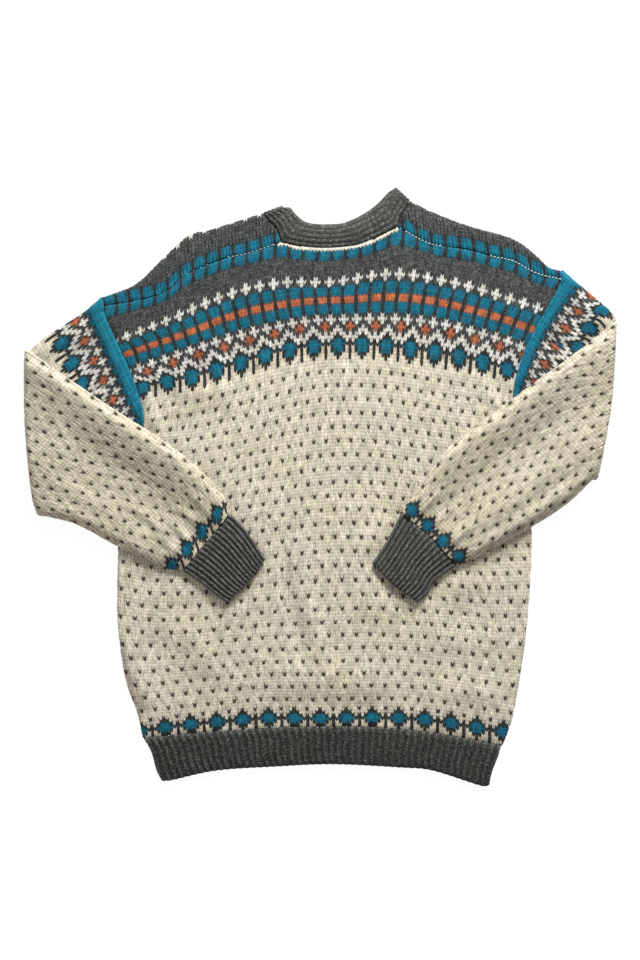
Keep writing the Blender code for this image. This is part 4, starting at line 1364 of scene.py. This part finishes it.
def make_neckband():
    back_seam, back_rim, front_seam, front_rim = band_path()
    turns = 4  # stations round each fold
    back_count = 56
    front_count = BAND_ROUND - back_count - 2 * turns
    across_count = 2 * BAND_RIDGES

    def station(number):
        """Seam point, rim point, turn and way out of each station round the band."""
        number = number % BAND_ROUND
        seam, rim = np.zeros((len(number), 2)), np.zeros((len(number), 2))
        turn, out = np.zeros(len(number)), np.zeros((len(number), 2))
        folds = {}
        for side, index in (("left", 0), ("right", -1)):
            a, b = front_seam.points[index], front_rim.points[index]
            along = unit(b - a)
            folds[side] = np.array([-along[1], along[0]]) * (1 if side == "left" else -1)
        back = number <= back_count
        share = number[back] / back_count
        seam[back], rim[back], turn[back] = back_seam.at(share), back_rim.at(share), math.pi / 2
        first = back_count + turns
        right = (number > back_count) & (number < first)
        seam[right], rim[right] = back_seam.points[-1], back_rim.points[-1]
        turn[right] = math.pi / 2 - (number[right] - back_count) * math.pi / turns
        out[right] = folds["right"]
        front = (number >= first) & (number <= first + front_count)
        share = 1 - (number[front] - first) / front_count
        seam[front], rim[front], turn[front] = front_seam.at(share), front_rim.at(share), -math.pi / 2
        left = number > first + front_count
        seam[left], rim[left] = back_seam.points[0], back_rim.points[0]
        turn[left] = -math.pi / 2 + (number[left] - first - front_count) * math.pi / turns
        out[left] = folds["left"]
        for side, index in (("left", 0), ("right", -1)):  # the rim's corners are rounded
            corner = back_rim.points[index]
            away = np.hypot(*(rim - corner).T)
            rim -= folds[side] * HALF * (1 - smooth_step(0, 12 * MM, away))[:, None]
            away = np.hypot(*(seam - back_seam.points[index]).T)
            seam -= folds[side] * HALF * (1 - smooth_step(0, 12 * MM, away))[:, None]
        return seam, rim, turn, out

    def place(column, row, outer):
        seam, rim, turn, out = station(column)
        share = row / across_count
        start = seam + SEAM / 2 * (rim - seam) / np.linalg.norm(rim - seam, axis=1)[:, None]
        spot = start + share[:, None] * (rim - start)
        up = np.clip(np.sin(turn), 0, 1)
        level = np.full(len(column), INNER)
        if outer:
            ridge = np.where(row % 2 == 1, 1, 0.4 * share) * RIDGE_RISE * (0.35 + 0.65 * up)
            closing = np.where((row == 0) | (row == across_count), 0.9 * MM, 0)
            level = RIB_LEVEL + ridge * 0.7 - closing
            level = np.where(up > 0, level, np.minimum(level, HALF - STITCH_RISE))
            zig = np.where(row % 2 == 1, 0.5, -0.5) * ZIGZAG
            ahead, _, _, _ = station(column + 1)
            behind, _, _, _ = station(column - 1)
            step = (ahead - behind) / 2
            lengths = np.linalg.norm(step, axis=1)
            step[lengths > 9 * MM] = 0
            spot = spot + zig[:, None] * step * np.where((row > 0) & (row < across_count), 1, 0)[:, None]
        crown = 1.6 * MM * np.sin(share * math.pi) * up if outer else 0
        plan = spot + out * (level * np.cos(turn))[:, None]
        return np.column_stack([plan, HALF + level * np.sin(turn) + crown])

    # These crests also set the ridges' painted shade.
    def depths(column, row):
        return (1.0 if column % 2 else -0.3) if row % 2 == 1 else -1.2 + 0.8 * row / across_count

    bm, outer = tube_shell(BAND_ROUND, across_count, place, depths)
    piece = finish_piece("neck_band", [(bm, outer, all_of("k"))], "charcoal_wool", RIB_STITCH_RISE, RIB_PLUMP)
    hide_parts("neckband")
    return piece


# ---------------------------------------------------------------- sewing


def make_seam_stitches(side):
    """The pale thread that shows along parts of a shoulder seam."""
    seam = line(SHOULDER_SEAM[side])
    across = seam.points[:, 0] / MM + CENTRE[0]
    rising = slice(None) if side == "right" else slice(None, None, -1)  # the left seam runs leftwards
    bm = bmesh.new()
    for start, end, pitch, length, radius in SEAM_STITCHES[side]:
        shares = np.interp([start, end], across[rising], seam.shares[rising])
        low, high = sorted(shares)
        count = max(2, round((high - low) * seam.length / (pitch * MM)))
        for share in np.linspace(low, high, count):
            spot, ahead, behind = (seam.at(share + step) for step in (0, 0.01, -0.01))
            way = unit(ahead - behind)
            angle = math.atan2(way[1], way[0]) + rng.normal(0, 0.15)
            stretch = length / radius * (0.8 + 0.4 * rng.random())
            verts = bmesh.ops.create_uvsphere(bm, u_segments=8, v_segments=5, radius=radius * MM)["verts"]
            for vert in verts:
                x, y, z = vert.co
                x *= stretch
                turned = x * math.cos(angle) - y * math.sin(angle), x * math.sin(angle) + y * math.cos(angle)
                vert.co = (*turned, z)
            bmesh.ops.translate(bm, verts=verts, vec=(*spot, 2 * HALF - 0.25 * MM))
    mesh = bpy.data.meshes.new(f"shoulder_stitches_{side}")
    bm.to_mesh(mesh)
    bm.free()
    mesh.shade_smooth()
    mesh.materials.append(thread())
    piece = bpy.data.objects.new(mesh.name, mesh)
    bpy.context.scene.collection.objects.link(piece)
    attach(piece, "root")
    return piece


def thread():
    material = bpy.data.materials.get("pale_thread")
    if material:
        return material
    material = bpy.data.materials.new("pale_thread")
    material.use_nodes = True
    nodes, links = material.node_tree.nodes, material.node_tree.links
    shader = nodes["Principled BSDF"]
    shader.inputs["Roughness"].default_value = 0.8
    place = add_node(nodes, "ShaderNodeTexCoord")
    noise = add_node(nodes, "ShaderNodeTexNoise")
    noise.inputs["Scale"].default_value = 900
    links.new(place.outputs["Object"], noise.inputs["Vector"])
    ramp = add_node(nodes, "ShaderNodeValToRGB")
    ramp.color_ramp.elements[0].color = (0.20, 0.34, 0.40, 1)
    ramp.color_ramp.elements[1].color = (0.58, 0.66, 0.66, 1)
    links.new(noise.outputs["Fac"], ramp.inputs["Fac"])
    links.new(ramp.outputs["Color"], shader.inputs["Base Color"])
    return material


# ---------------------------------------------------------------- floor, light and camera


def make_stage():
    bm = bmesh.new()
    bmesh.ops.create_grid(bm, x_segments=1, y_segments=1, size=4)
    bmesh.ops.translate(bm, verts=bm.verts, vec=(0, 0, -0.0004))
    mesh = bpy.data.meshes.new("floor")
    bm.to_mesh(mesh)
    bm.free()
    material = bpy.data.materials.new("pale_floor")
    material.use_nodes = True
    shader = material.node_tree.nodes["Principled BSDF"]
    shader.inputs["Base Color"].default_value = (0.1, 0.1, 0.1, 1)
    shader.inputs["Roughness"].default_value = 0.9
    shader.inputs["Specular IOR Level"].default_value = 0.1
    shader.inputs["Emission Color"].default_value = (1, 1, 1, 1)
    shader.inputs["Emission Strength"].default_value = 0.94
    mesh.materials.append(material)
    floor = bpy.data.objects.new("floor", mesh)
    bpy.context.scene.collection.objects.link(floor)


def make_light():
    world = bpy.data.worlds.new("soft_room")
    bpy.context.scene.world = world
    world.use_nodes = True
    world.node_tree.nodes["Background"].inputs["Color"].default_value = (1, 1, 1, 1)
    world.node_tree.nodes["Background"].inputs["Strength"].default_value = 0.36
    for name, spot, size, power in (
        ("key", (0.6, 2.35, 1.3), 1.1, 134),
        ("fill", (-1.6, -0.6, 1.8), 1.6, 6),
    ):
        lamp = bpy.data.lights.new(name, "AREA")
        lamp.shape = "SQUARE"
        lamp.size = size
        lamp.energy = power
        light = bpy.data.objects.new(name, lamp)
        light.location = spot
        bpy.context.scene.collection.objects.link(light)
        light.rotation_mode = "QUATERNION"
        light.rotation_quaternion = (-light.location).to_track_quat("-Z", "Y")


def make_camera():
    """Straight above, with a long lens, on a field 0.8 m by 1.2 m."""
    height, field = 5.0, 1.2
    lens = bpy.data.cameras.new("camera")
    lens.sensor_fit = "VERTICAL"
    lens.sensor_height = 36
    lens.sensor_width = 36
    lens.lens = 36 * (height - 7 * MM) / field
    camera = bpy.data.objects.new("camera", lens)
    camera.location = (-0.0002, 0.0083, height)
    bpy.context.scene.collection.objects.link(camera)
    bpy.context.scene.camera = camera


# ---------------------------------------------------------------- the sweater


def main():
    back = make_back()
    front = make_front()
    sleeves = [make_sleeve(side) for side in SIDES]
    hem = make_hem()
    cuffs = [make_cuff(side) for side in SIDES]
    band = make_neckband()
    for side in SIDES:
        make_seam_stitches(side)
    make_stage()
    make_light()
    make_camera()
    bpy.context.scene.view_settings.view_transform = "Standard"


main()
